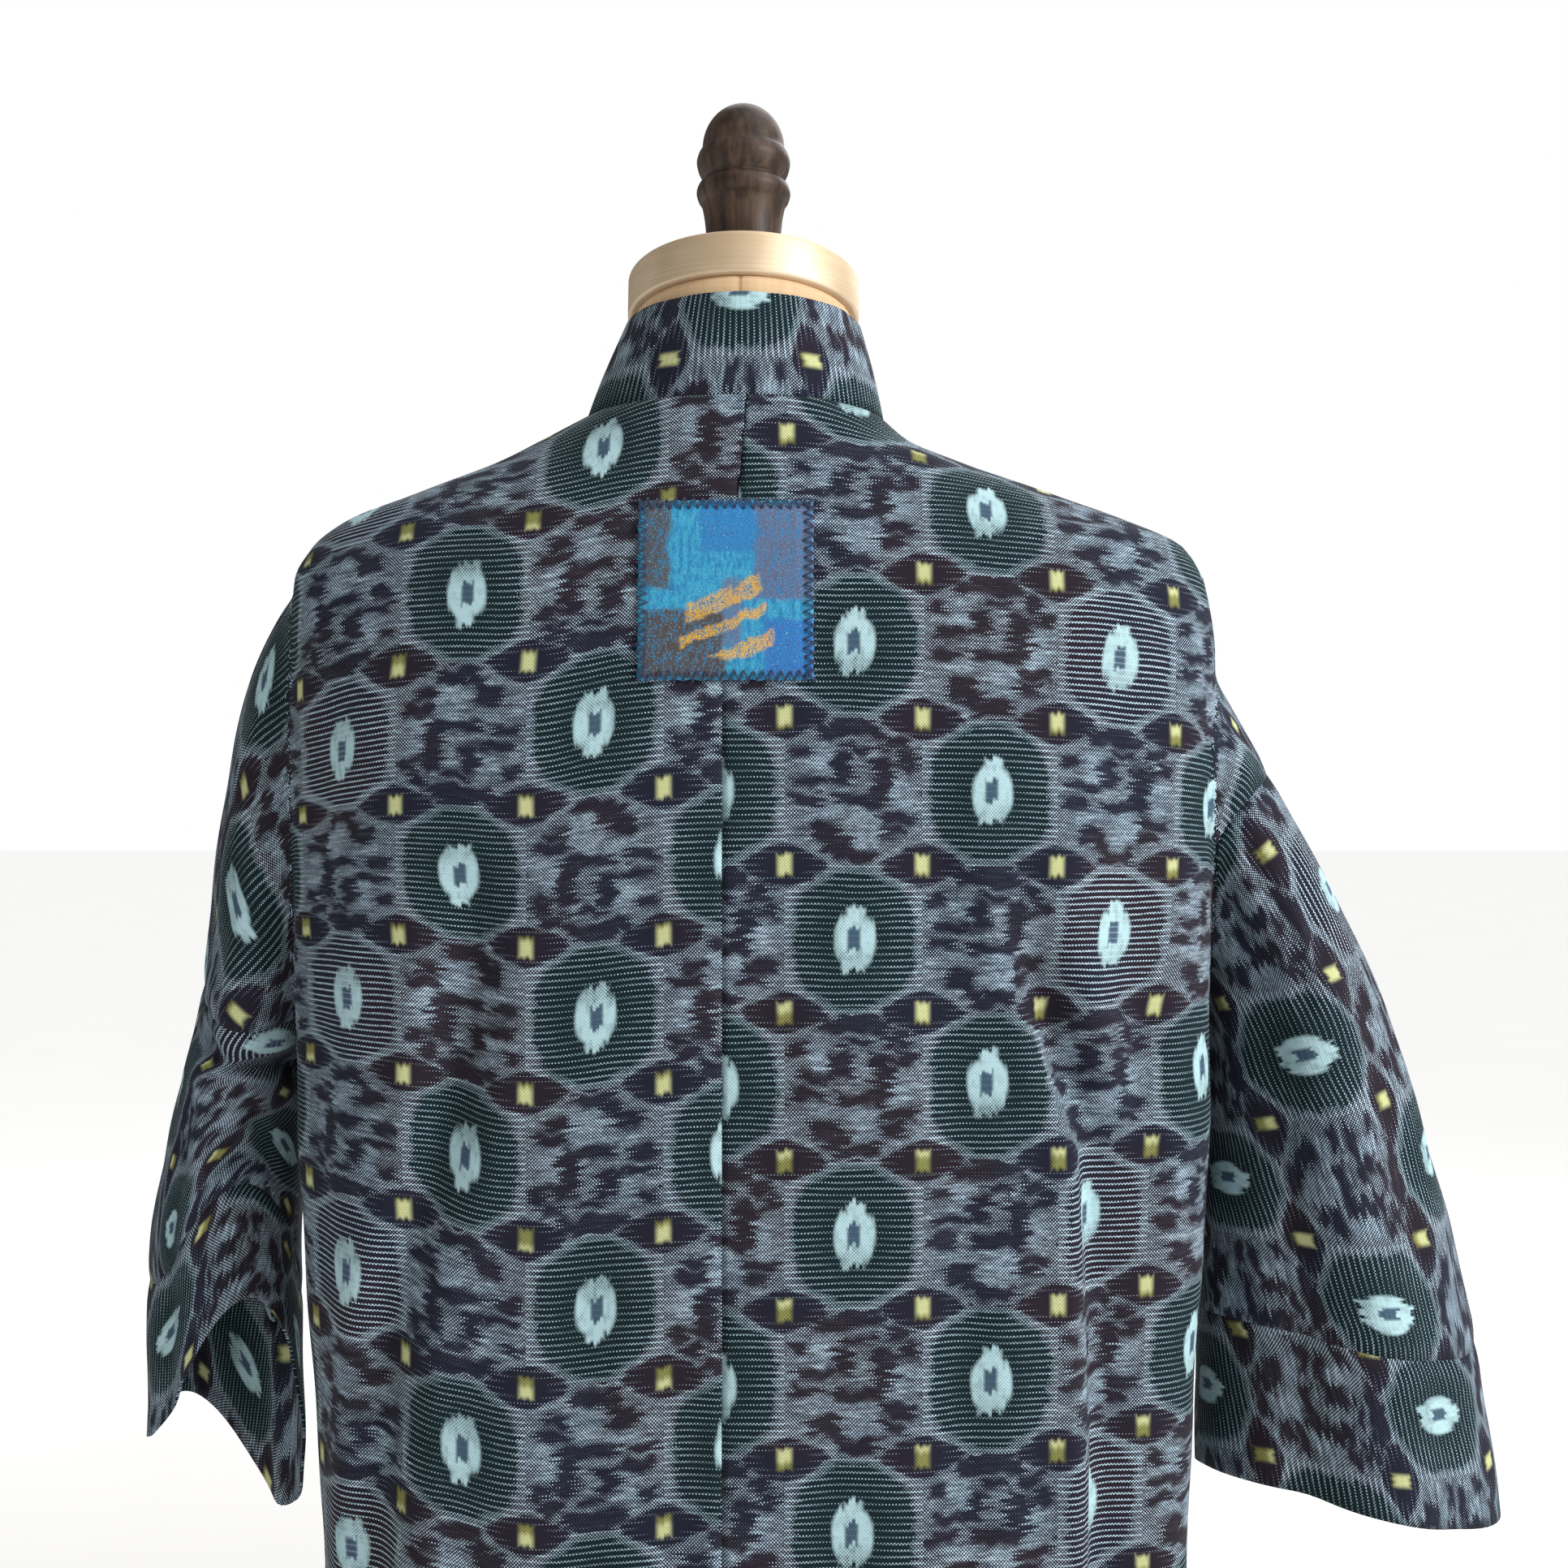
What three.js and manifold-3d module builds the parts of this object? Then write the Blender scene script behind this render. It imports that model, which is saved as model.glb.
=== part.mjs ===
// A kasuri kimono jacket worn by a limbless dress form on a pole and a round base.
// Millimetres, +Z up. The wearer faces -Y, so the back is +Y and the wearer's left is +X.
// The origin is the middle of the flat underside of the base.

import * as THREE from 'three';
import Module from 'manifold-3d';
import { mergeVertices } from 'three/addons/utils/BufferGeometryUtils.js';

const wasm = await Module();
wasm.setup();

// ---- Driving dimensions ----

const DATUM = 1265; // level across the shoulder blades, which every height in the tables counts from
const CLOTH = 1.6; // thickness of the cotton with its pressed seam allowances
const SEAM_GAP = 0.3; // clearance between pieces that are sewn or set together
const COLLAR_LEVEL = 177; // level of the seam between the back and the neckband
const HEM_LEVEL = -563;
const BAND_THICKNESS = 2.6; // the neckband is folded double
const PATCH_THICKNESS = 1;
const PATCH = { left: 45, right: -33, bottom: 46, top: 127 };
const CENTRE_SEAM = { top: -3, bottom: 7.5, bottomLevel: 46 }; // the back seam wanders over the shoulders

const CAP_RADIUS = 57;
const CAP_HEIGHT = 21;
const CAP_ROUNDING = 6;
const CAP_LEVEL = 227.2; // underside of the cap on its axis
const CAP_TILT = THREE.MathUtils.degToRad(8.5); // the back of the cap stands higher
const POLE_RADIUS = 16;
const BASE_RADIUS = 210;
const BASE_HEIGHT = 22;
const BASE_EDGE = 7;

// Outer face of the jacket's body, a row for each level: distances from the middle to the left and
// right edges, to the back and to the front, and how square the section's corners are.
const BODY_SECTIONS = [
  { z: -563, left: 203, right: 212, back: 92, front: 128, power: 2.8 },
  { z: -347, left: 207, right: 216, back: 88, front: 130, power: 2.8 },
  { z: -150, left: 217, right: 227, back: 86, front: 132, power: 2.8 },
  { z: 0, left: 218, right: 228, back: 85, front: 135, power: 2.8 },
  { z: 60, left: 219, right: 230, back: 82, front: 125, power: 2.7 },
  { z: 97, left: 220, right: 226, back: 79, front: 112, power: 2.4 },
  { z: 115, left: 212, right: 217, back: 77, front: 105, power: 2.1 },
  { z: 128, left: 196, right: 190, back: 73, front: 99, power: 2 },
  { z: 140, left: 165, right: 155, back: 70, front: 90, power: 2 },
  { z: 155, left: 124, right: 110, back: 68, front: 78, power: 2 },
  { z: 165, left: 103, right: 85, back: 67, front: 68, power: 2 },
  { z: 177, left: 78, right: 70, back: 66, front: 55, power: 2 },
];

// Sleeves, a row for each ring from inside the shoulder to the hem. outer and inner are the ring's
// top and underarm points, middle and depth place it front to back, rise lifts its back over its
// front, and twist lifts its back towards the body.
const RIGHT_SLEEVE = {
  side: -1,
  seam: 2,
  cuff: 6,
  rings: [
    { outerX: 205, outerZ: 115, innerX: 150, innerZ: 60, middle: -20, depth: 58, rise: 0, twist: 0 },
    { outerX: 236, outerZ: 53, innerX: 180, innerZ: 0, middle: -25, depth: 60, rise: 4, twist: 0 },
    { outerX: 263, outerZ: 5, innerX: 205, innerZ: -50, middle: -28, depth: 61, rise: 8, twist: 0 },
    { outerX: 307, outerZ: -79, innerX: 230, innerZ: -100, middle: -28, depth: 62, rise: 6, twist: 0 },
    { outerX: 330, outerZ: -130, innerX: 234, innerZ: -150, middle: -28, depth: 62, rise: 4, twist: 0 },
    { outerX: 352, outerZ: -205, innerX: 234, innerZ: -208, middle: -28, depth: 62, rise: 2, twist: -2 },
    { outerX: 369, outerZ: -278, innerX: 233, innerZ: -268, middle: -28, depth: 62, rise: 2, twist: -4 },
    { outerX: 382, outerZ: -362, innerX: 231, innerZ: -346, middle: -28, depth: 61, rise: 4, twist: -5 },
  ],
};
const LEFT_SLEEVE = {
  side: 1,
  seam: 4,
  cuff: 7,
  rings: [
    { outerX: 205, outerZ: 122, innerX: 150, innerZ: 70, middle: -20, depth: 55, rise: 0, twist: 0 },
    { outerX: 226, outerZ: 96, innerX: 168, innerZ: 35, middle: -24, depth: 56, rise: 0, twist: 0 },
    { outerX: 248, outerZ: 56, innerX: 186, innerZ: 0, middle: -26, depth: 56, rise: -6, twist: 0 },
    { outerX: 261, outerZ: 1, innerX: 202, innerZ: -45, middle: -27, depth: 55, rise: -14, twist: 0 },
    { outerX: 272, outerZ: -92, innerX: 215, innerZ: -105, middle: -27, depth: 54, rise: -20, twist: 0 },
    { outerX: 282, outerZ: -135, innerX: 223, innerZ: -150, middle: -27, depth: 53, rise: -4, twist: -4 },
    { outerX: 293, outerZ: -185, innerX: 228, innerZ: -190, middle: -27, depth: 49, rise: 14, twist: -12 },
    { outerX: 301, outerZ: -245, innerX: 229, innerZ: -240, middle: -27, depth: 45, rise: 30, twist: -22 },
    { outerX: 302, outerZ: -322, innerX: 226, innerZ: -316, middle: -27, depth: 42, rise: 45, twist: -30 },
  ],
};

// Largest folds of the body, a row for each: a line of [across, level] points from its top to its
// bottom, how deep it is sunk (a ridge is negative), how wide, and the length over which it starts.
const BACK_FOLDS = [
  { line: [[115, -12], [131, -134], [158, -227], [171, -346], [174, -563]], depth: 9, width: 15, start: 70 },
  { line: [[-113, -40], [-142, -115], [-162, -175], [-168, -346], [-168, -563]], depth: 14, width: 14, start: 80 },
  { line: [[-179, 60], [-176, -41], [-186, -130], [-192, -563]], depth: 3.5, width: 14, start: 60 },
  { line: [[-86, 60], [-88, -30], [-96, -150], [-108, -563]], depth: 3, width: 13, start: 80 },
  { line: [[188, 70], [196, -10], [202, -563]], depth: 4, width: 12, start: 60 },
  { line: [[66, -120], [70, -563]], depth: 3, width: 20, start: 160 },
];
const FRONT_FOLDS = [
  { line: [[150, 40], [138, -150], [128, -563]], depth: 8, width: 17, start: 110 },
  { line: [[186, 20], [182, -200], [176, -563]], depth: 6, width: 14, start: 90 },
  { line: [[-146, 30], [-136, -160], [-140, -563]], depth: 9, width: 17, start: 110 },
  { line: [[-190, 10], [-186, -200], [-184, -563]], depth: 6, width: 14, start: 90 },
  { line: [[106, -90], [100, -563]], depth: 4, width: 15, start: 150 },
  { line: [[-104, -60], [-98, -563]], depth: 4, width: 15, start: 150 },
];

// Folds of the sleeves, a row for each: ring number and angle (outer edge 0, back 90) of its two
// ends, how deep it is sunk and how wide.
const LEFT_SLEEVE_FOLDS = [
  { fromRing: 4.35, fromAngle: 50, toRing: 4.75, toAngle: 165, depth: 8, width: 11 },
  { fromRing: 5.4, fromAngle: 70, toRing: 8, toAngle: 60, depth: 4, width: 12 },
  { fromRing: 4.6, fromAngle: 250, toRing: 8, toAngle: 240, depth: 5, width: 14 },
  { fromRing: 1.5, fromAngle: 95, toRing: 3.6, toAngle: 60, depth: 3, width: 12 },
];
const RIGHT_SLEEVE_FOLDS = [
  { fromRing: 2.3, fromAngle: 125, toRing: 7, toAngle: 118, depth: 5, width: 13 },
  { fromRing: 3.2, fromAngle: 62, toRing: 7, toAngle: 58, depth: 3.5, width: 14 },
  { fromRing: 2.4, fromAngle: 240, toRing: 7, toAngle: 245, depth: 5, width: 14 },
  { fromRing: 3.4, fromAngle: 300, toRing: 7, toAngle: 300, depth: 3.5, width: 14 },
];

// Front edges of the body, a row for each level: how far the left and right ones lie from the middle.
const FRONT_EDGE = [
  { z: -563, left: 66, right: 66 },
  { z: -60, left: 76, right: 76 },
  { z: 30, left: 80, right: 80 },
  { z: 120, left: 85, right: 84 },
  { z: 165, left: 82, right: 76 },
  { z: 177, left: 78, right: 70 },
];

// Free edge of the neckband down each front, a row for each level of its seam.
const BAND_EDGE = [
  { z: -563, x: 16, y: -133, free: -563 },
  { z: -62, x: 26, y: -139, free: -60 },
  { z: 40, x: 33, y: -131, free: 48 },
  { z: 125, x: 45, y: -88, free: 150 },
  { z: 165, x: 54, y: -40, free: 205 },
  { z: 177, x: 57, y: 2, free: 223 },
];
const BAND_BACK_RADIUS = 58;
const BAND_BACK_TOP = 226;

// Dress form, a row for each level, with the same columns as the body and no sides of its own.
const FORM_SECTIONS = [
  { z: -665, half: 160, back: 76, front: 86 },
  { z: -652, half: 169, back: 83, front: 93 },
  { z: -560, half: 172, back: 83, front: 95 },
  { z: -440, half: 150, back: 66, front: 86 },
  { z: -330, half: 125, back: 52, front: 78 },
  { z: -240, half: 128, back: 56, front: 84 },
  { z: -150, half: 140, back: 66, front: 97 },
  { z: -60, half: 160, back: 75, front: 122 },
  { z: 0, half: 174, back: 78, front: 114 },
  { z: 60, half: 188, back: 76, front: 98 },
  { z: 97, half: 193, back: 75, front: 98 },
  { z: 115, half: 190, back: 73.5, front: 98 },
  { z: 128, half: 180, back: 70, front: 95 },
  { z: 140, half: 147, back: 67, front: 86 },
  { z: 155, half: 102.5, back: 65, front: 74 },
  { z: 165, half: 79, back: 64, front: 63 },
  { z: 177, half: 64, back: 62, front: 51 },
  { z: 187, half: 56.5, back: 57, front: 51 },
  { z: 200, half: 54, back: 54.5, front: 53 },
  { z: 226.7, half: 53.5, back: 53.5, front: 53.5 },
];
const FORM_SQUARENESS = 2.1;
const NECK_FOOT = 190; // above this level the neck's rings lean over to meet the cap

// Turned finial, a row for each height over the cap, up to the foot of its dome.
const FINIAL_PROFILE = [
  { height: 0, radius: 17 },
  { height: 12, radius: 18.4 },
  { height: 26, radius: 19.2 },
  { height: 35.7, radius: 20.8 },
  { height: 38.6, radius: 22.6 },
  { height: 42.6, radius: 23.3 },
  { height: 46.6, radius: 22.4 },
  { height: 49.7, radius: 20.7 },
  { height: 53.4, radius: 22.5 },
  { height: 57.4, radius: 23.2 },
  { height: 61, radius: 22.2 },
  { height: 63.4, radius: 21 },
];
const FINIAL_TOP = 86.6;

// How finely the pieces are faceted.
const BODY_COLUMNS = 54;
const BODY_LEVELS = 18; // rings from the hem to the shoulder
const SHOULDER_LEVELS = 10; // rings over the shoulder
const SHOULDER_START = 60;
const SLEEVE_COLUMNS = 24;
const SLEEVE_STEPS = 3; // rings for each row of a sleeve's table
const FORM_COLUMNS = 30;
const BAND_BACK_STEPS = 18;
const BAND_FRONT_STEPS = 16;
const ROUND_COLUMNS = 28;

// ---- Curves and solids ----

// Value of a table's column at a place along its key column, on a curve that never overshoots a row.
function along(rows, key, column, place) {
  const last = rows.length - 1;
  const at = Math.min(Math.max(place, rows[0][key]), rows[last][key]);
  let i = 0;
  while (i < last - 1 && at > rows[i + 1][key]) i += 1;
  const slope = (k) => (rows[k + 1][column] - rows[k][column]) / (rows[k + 1][key] - rows[k][key]);
  const tangent = (k) => {
    if (k === 0) return slope(0);
    if (k === last) return slope(last - 1);
    const before = slope(k - 1);
    const after = slope(k);
    return before * after <= 0 ? 0 : (2 * before * after) / (before + after);
  };
  const span = rows[i + 1][key] - rows[i][key];
  const t = (at - rows[i][key]) / span;
  const bend = t * t * (3 - 2 * t);
  const start = t * (1 - t) * (1 - t) * span * tangent(i);
  const end = t * t * (t - 1) * span * tangent(i + 1);
  return rows[i][column] * (1 - bend) + rows[i + 1][column] * bend + start + end;
}

// Closed solid from its triangles, turned so that its faces point out.
function solidFromTriangles(points, triangles) {
  let volume = 0;
  for (const [a, b, c] of triangles) {
    volume += points[a].dot(new THREE.Vector3().crossVectors(points[b], points[c]));
  }
  const turned = volume < 0 ? triangles.map(([a, b, c]) => [a, c, b]) : triangles;
  return new wasm.Manifold(new wasm.Mesh({
    numProp: 3,
    vertProperties: new Float32Array(points.flatMap((point) => point.toArray())),
    triVerts: new Uint32Array(turned.flat()),
  }));
}

// Closed solid through rings with equal numbers of points, with a fan over each end.
function solidFromRings(rings) {
  const columns = rings[0].length;
  const points = rings.flat();
  const triangles = [];
  for (let row = 0; row + 1 < rings.length; row += 1) {
    for (let column = 0; column < columns; column += 1) {
      const next = (column + 1) % columns;
      const here = row * columns;
      const above = here + columns;
      triangles.push([here + column, here + next, above + next]);
      triangles.push([here + column, above + next, above + column]);
    }
  }
  for (const [row, direction] of [[0, 1], [rings.length - 1, -1]]) {
    const middle = points.push(middleOf(rings[row])) - 1;
    for (let column = 0; column < columns; column += 1) {
      const a = row * columns + column;
      const b = row * columns + ((column + 1) % columns);
      triangles.push(direction > 0 ? [middle, b, a] : [middle, a, b]);
    }
  }
  return solidFromTriangles(points, triangles);
}

function middleOf(ring) {
  return ring.reduce((sum, point) => sum.add(point), new THREE.Vector3()).divideScalar(ring.length);
}

// Closed solid from a three.js geometry.
function solidFromGeometry(geometry) {
  const bare = geometry.clone();
  bare.deleteAttribute('normal');
  bare.deleteAttribute('uv');
  const merged = mergeVertices(bare, 1e-4);
  return new wasm.Manifold(new wasm.Mesh({
    numProp: 3,
    vertProperties: new Float32Array(merged.attributes.position.array),
    triVerts: new Uint32Array(merged.index.array),
  }));
}

function geometryFromSolid(solid) {
  const mesh = solid.getMesh();
  const geometry = new THREE.BufferGeometry();
  geometry.setAttribute('position', new THREE.BufferAttribute(mesh.vertProperties, 3));
  geometry.setIndex(new THREE.BufferAttribute(mesh.triVerts, 1));
  return geometry;
}

// A cut can leave crumbs where it runs along a fold: the piece is the largest body.
function largestBody(solid) {
  return solid.decompose().reduce((best, body) => (body.volume() > best.volume() ? body : best));
}

// Unit vectors out of a surface of rings, at each of its points.
function outwardNormals(rings) {
  const last = rings.length - 1;
  return rings.map((ring, row) => {
    const centre = middleOf(ring);
    return ring.map((point, column) => {
      const next = ring[(column + 1) % ring.length];
      const before = ring[(column + ring.length - 1) % ring.length];
      const round = new THREE.Vector3().subVectors(next, before);
      const up = rings[Math.min(row + 1, last)][column].clone().sub(rings[Math.max(row - 1, 0)][column]);
      const normal = round.cross(up).normalize();
      return normal.dot(point.clone().sub(centre)) < 0 ? normal.negate() : normal;
    });
  });
}

// The same surface moved out along its normals, or in where the distance is negative.
function movedOut(rings, distance) {
  const normals = outwardNormals(rings);
  return rings.map((ring, row) => ring.map((point, column) => (
    point.clone().addScaledVector(normals[row][column], distance)
  )));
}

function shifted(ring, x, y, z) {
  const step = new THREE.Vector3(x, y, z);
  return ring.map((point) => point.clone().add(step));
}

// A solid slab between two outlines in the XZ plane, from one depth to another.
function slab(outline, fromY, toY) {
  const shape = new THREE.Shape(outline.map(([x, z]) => new THREE.Vector2(x, z)));
  const geometry = new THREE.ExtrudeGeometry(shape, { depth: toY - fromY, bevelEnabled: false });
  geometry.rotateX(Math.PI / 2);
  geometry.translate(0, toY, 0);
  return solidFromGeometry(geometry);
}

const smoothStep = (t) => THREE.MathUtils.smoothstep(t, 0, 1);

// ---- Body of the jacket ----

// How deep the folds sink one face of the body at a place on it.
function bodyFoldDepth(folds, x, z) {
  let depth = 0;
  for (const fold of folds) {
    const rows = fold.line.map(([across, level]) => ({ level: -level, across }));
    const top = fold.line[0][1];
    const middle = along(rows, 'level', 'across', -z);
    const slope = middle - along(rows, 'level', 'across', 1 - z);
    const distance = (x - middle) / Math.hypot(1, slope);
    const strength = smoothStep((top - z) / fold.start);
    depth += fold.depth * strength * Math.exp(-((distance / fold.width) ** 2));
  }
  return depth;
}

// Ring of the body at a level, without folds: angle 0 is the left side and 90 degrees the back.
function bodyRing(z) {
  const at = (column) => along(BODY_SECTIONS, 'z', column, z);
  const power = at('power');
  return Array.from({ length: BODY_COLUMNS }, (_, column) => {
    const angle = (2 * Math.PI * column) / BODY_COLUMNS;
    const across = Math.cos(angle);
    const back = Math.sin(angle);
    const reach = (Math.abs(across) ** power + Math.abs(back) ** power) ** (-1 / power);
    const x = across * reach * (across > 0 ? at('left') : at('right'));
    const y = back * reach * (back > 0 ? at('back') : at('front'));
    return new THREE.Vector3(x, y, DATUM + z);
  });
}

// Depth of the body's back (+1) or front (-1) face at a place on it, without folds.
function bodyFace(x, z, face) {
  const half = along(BODY_SECTIONS, 'z', x > 0 ? 'left' : 'right', z);
  const depth = along(BODY_SECTIONS, 'z', face > 0 ? 'back' : 'front', z);
  const power = along(BODY_SECTIONS, 'z', 'power', z);
  return face * depth * Math.max(0, 1 - (Math.abs(x) / half) ** power) ** (1 / power);
}

function bodyRings() {
  const levels = [];
  for (let i = 0; i < BODY_LEVELS; i += 1) {
    levels.push(HEM_LEVEL + ((SHOULDER_START - HEM_LEVEL) * i) / BODY_LEVELS);
  }
  for (let i = 0; i <= SHOULDER_LEVELS; i += 1) {
    levels.push(SHOULDER_START + ((COLLAR_LEVEL - SHOULDER_START) * i) / SHOULDER_LEVELS);
  }
  const plain = levels.map(bodyRing);
  const normals = outwardNormals(plain);
  return plain.map((ring, row) => ring.map((point, column) => {
    const folds = point.y > 0 ? BACK_FOLDS : FRONT_FOLDS;
    const depth = bodyFoldDepth(folds, point.x, point.z - DATUM);
    return point.clone().addScaledVector(normals[row][column], -depth);
  }));
}

// Inner face of the body, run on past the hem and up through the neck.
function bodyHollow(rings) {
  const inner = movedOut(rings, -CLOTH);
  const top = rings[rings.length - 1];
  const neck = movedOut([top, shifted(top, 0, 0, 1)], -CLOTH)[0];
  const passage = shifted(neck, 0, 0, 20);
  return solidFromRings([shifted(inner[0], 0, 0, -20), ...inner.slice(0, -1), neck, passage]);
}

// Levels of the neckband's stations down a front, from the hem up, closer together near the neck.
function frontLevels() {
  const drop = COLLAR_LEVEL - HEM_LEVEL;
  return Array.from({ length: BAND_FRONT_STEPS + 1 }, (_, step) => (
    COLLAR_LEVEL - drop * (1 - step / BAND_FRONT_STEPS) ** 1.9
  ));
}

const frontEdge = (side, z) => along(FRONT_EDGE, 'z', side > 0 ? 'left' : 'right', z);

// The strip between the front edges, open from the neck to below the hem.
function frontOpening() {
  const left = frontLevels().map((z) => [frontEdge(1, z), DATUM + z]);
  const right = frontLevels().map((z) => [-frontEdge(-1, z), DATUM + z]);
  const below = DATUM + HEM_LEVEL - 30;
  const above = DATUM + COLLAR_LEVEL + 30;
  const foot = [[-FRONT_EDGE[0].right, below], [FRONT_EDGE[0].left, below]];
  const head = [[FRONT_EDGE.at(-1).left, above], [-FRONT_EDGE.at(-1).right, above]];
  return slab([...foot, ...left, ...head, ...right.reverse()], -250, 0);
}

// Everything on one side of the centre-back seam.
function seamSide(side) {
  const gap = (side * SEAM_GAP) / 2;
  const far = side * 600;
  const bottom = DATUM + HEM_LEVEL - 60;
  const top = DATUM + COLLAR_LEVEL + 60;
  const outline = [
    [CENTRE_SEAM.bottom + gap, bottom],
    [CENTRE_SEAM.bottom + gap, DATUM + CENTRE_SEAM.bottomLevel],
    [CENTRE_SEAM.top + gap, DATUM + COLLAR_LEVEL],
    [CENTRE_SEAM.top + gap, top],
    [far, top],
    [far, bottom],
  ];
  return slab(side > 0 ? outline.reverse() : outline, -300, 300);
}

// ---- Sleeves ----

function sleeveRing(sleeve, row) {
  const rows = sleeve.rings.map((ring, number) => ({ number, ...ring }));
  const at = (column) => along(rows, 'number', column, row);
  const middleX = (at('outerX') + at('innerX')) / 2;
  const middleZ = (at('outerZ') + at('innerZ')) / 2;
  const reachX = (at('outerX') - at('innerX')) / 2;
  const reachZ = (at('outerZ') - at('innerZ')) / 2;
  return Array.from({ length: SLEEVE_COLUMNS }, (_, column) => {
    const angle = (2 * Math.PI * column) / SLEEVE_COLUMNS;
    const out = Math.cos(angle);
    const back = Math.sin(angle);
    const lift = at('rise') * back + at('twist') * Math.sin(2 * angle);
    return new THREE.Vector3(
      sleeve.side * (middleX + reachX * out),
      at('middle') + at('depth') * back,
      DATUM + middleZ + reachZ * out + lift,
    );
  });
}

// How deep the folds sink a sleeve at a ring number and an angle in degrees.
function sleeveFoldDepth(folds, row, angle) {
  const ringPitch = 45;
  const degreeLength = 1.1;
  let depth = 0;
  for (const fold of folds) {
    const from = new THREE.Vector2(fold.fromRing * ringPitch, fold.fromAngle * degreeLength);
    const to = new THREE.Vector2(fold.toRing * ringPitch, fold.toAngle * degreeLength);
    const place = new THREE.Vector2(row * ringPitch, angle * degreeLength);
    const run = to.clone().sub(from);
    const share = THREE.MathUtils.clamp(place.clone().sub(from).dot(run) / run.lengthSq(), 0, 1);
    const distance = place.distanceTo(from.addScaledVector(run, share));
    depth += fold.depth * Math.exp(-((distance / fold.width) ** 2));
  }
  return depth;
}

function sleeveRings(sleeve, folds) {
  const steps = (sleeve.rings.length - 1) * SLEEVE_STEPS;
  const places = Array.from({ length: steps + 1 }, (_, step) => step / SLEEVE_STEPS);
  const plain = places.map((row) => sleeveRing(sleeve, row));
  const normals = outwardNormals(plain);
  return plain.map((ring, step) => ring.map((point, column) => {
    const depth = sleeveFoldDepth(folds, places[step], (360 * column) / SLEEVE_COLUMNS);
    return point.clone().addScaledVector(normals[step][column], -depth);
  }));
}

// A ring moved square to its own plane, away from the shoulder.
function onward(rings, index, distance) {
  const ring = rings[index];
  const middle = middleOf(ring);
  const square = new THREE.Vector3();
  ring.forEach((point, column) => {
    const next = ring[(column + 1) % ring.length];
    square.add(new THREE.Vector3().crossVectors(point.clone().sub(middle), next.clone().sub(middle)));
  });
  const away = middle.clone().sub(middleOf(rings[index - 1]));
  square.setLength(square.dot(away) < 0 ? -distance : distance);
  return shifted(ring, square.x, square.y, square.z);
}

// The stretch of a sleeve between two rows of its table, a little fatter than its cloth.
function sleeveZone(rings, fromRow, toRow, fatter, early) {
  const fat = movedOut(rings, fatter);
  const from = fromRow * SLEEVE_STEPS;
  const to = toRow * SLEEVE_STEPS;
  const start = onward(fat, from, -early);
  const isHem = to === rings.length - 1;
  const end = onward(fat, to, isHem ? 30 : -SEAM_GAP);
  const between = fat.slice(from + 1, isHem ? to + 1 : to);
  return solidFromRings([start, ...between, end]);
}

// Inner face of a sleeve, run on past its hem.
function sleeveHollow(rings) {
  const inner = movedOut(rings, -CLOTH);
  return solidFromRings([...inner, onward(inner, inner.length - 1, 30)]);
}

// ---- Neckband, patch ----

// Stations round the neck from the left hem to the right one, each with its seam and its free edge.
function bandStations() {
  const stations = [];
  const front = (side, z) => {
    const edge = frontEdge(side, z) - SEAM_GAP;
    const seam = new THREE.Vector3(side * edge, bodyFace(side * edge, z, -1), DATUM + z);
    const free = new THREE.Vector3(
      side * along(BAND_EDGE, 'z', 'x', z),
      along(BAND_EDGE, 'z', 'y', z),
      DATUM + along(BAND_EDGE, 'z', 'free', z),
    );
    stations.push({ seam, free });
  };
  const levels = frontLevels().slice(0, -1);
  for (const z of levels) front(1, z);
  for (let i = 0; i <= BAND_BACK_STEPS; i += 1) {
    const angle = (Math.PI * i) / BAND_BACK_STEPS;
    const out = Math.cos(angle);
    const back = Math.sin(angle);
    const neck = BODY_SECTIONS.at(-1);
    const half = (out > 0 ? neck.left : neck.right) - 2 * SEAM_GAP;
    const top = THREE.MathUtils.lerp(BAND_EDGE.at(-1).free, BAND_BACK_TOP, back);
    stations.push({
      seam: new THREE.Vector3(half * out, neck.back * back, DATUM + COLLAR_LEVEL + SEAM_GAP),
      free: new THREE.Vector3(BAND_BACK_RADIUS * out, 2 + BAND_BACK_RADIUS * back, DATUM + top),
    });
  }
  for (const z of levels.toReversed()) front(-1, z);
  return stations;
}

// Each station is a flat section, its thickness set inwards at right angles to the band's run.
function neckband() {
  const stations = bandStations();
  const sections = stations.map(({ seam, free }, i) => {
    const before = stations[Math.max(i - 1, 0)];
    const after = stations[Math.min(i + 1, stations.length - 1)];
    const run = after.seam.clone().add(after.free).sub(before.seam).sub(before.free);
    const inward = free.clone().sub(seam).cross(run).setZ(0).setLength(BAND_THICKNESS);
    const middle = seam.clone().lerp(free, 0.5);
    const outside = [seam, middle, free];
    const inside = [free, middle, seam].map((point) => point.clone().add(inward));
    return [...outside.map((point) => point.clone()), ...inside];
  });
  return solidFromRings(sections);
}

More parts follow.
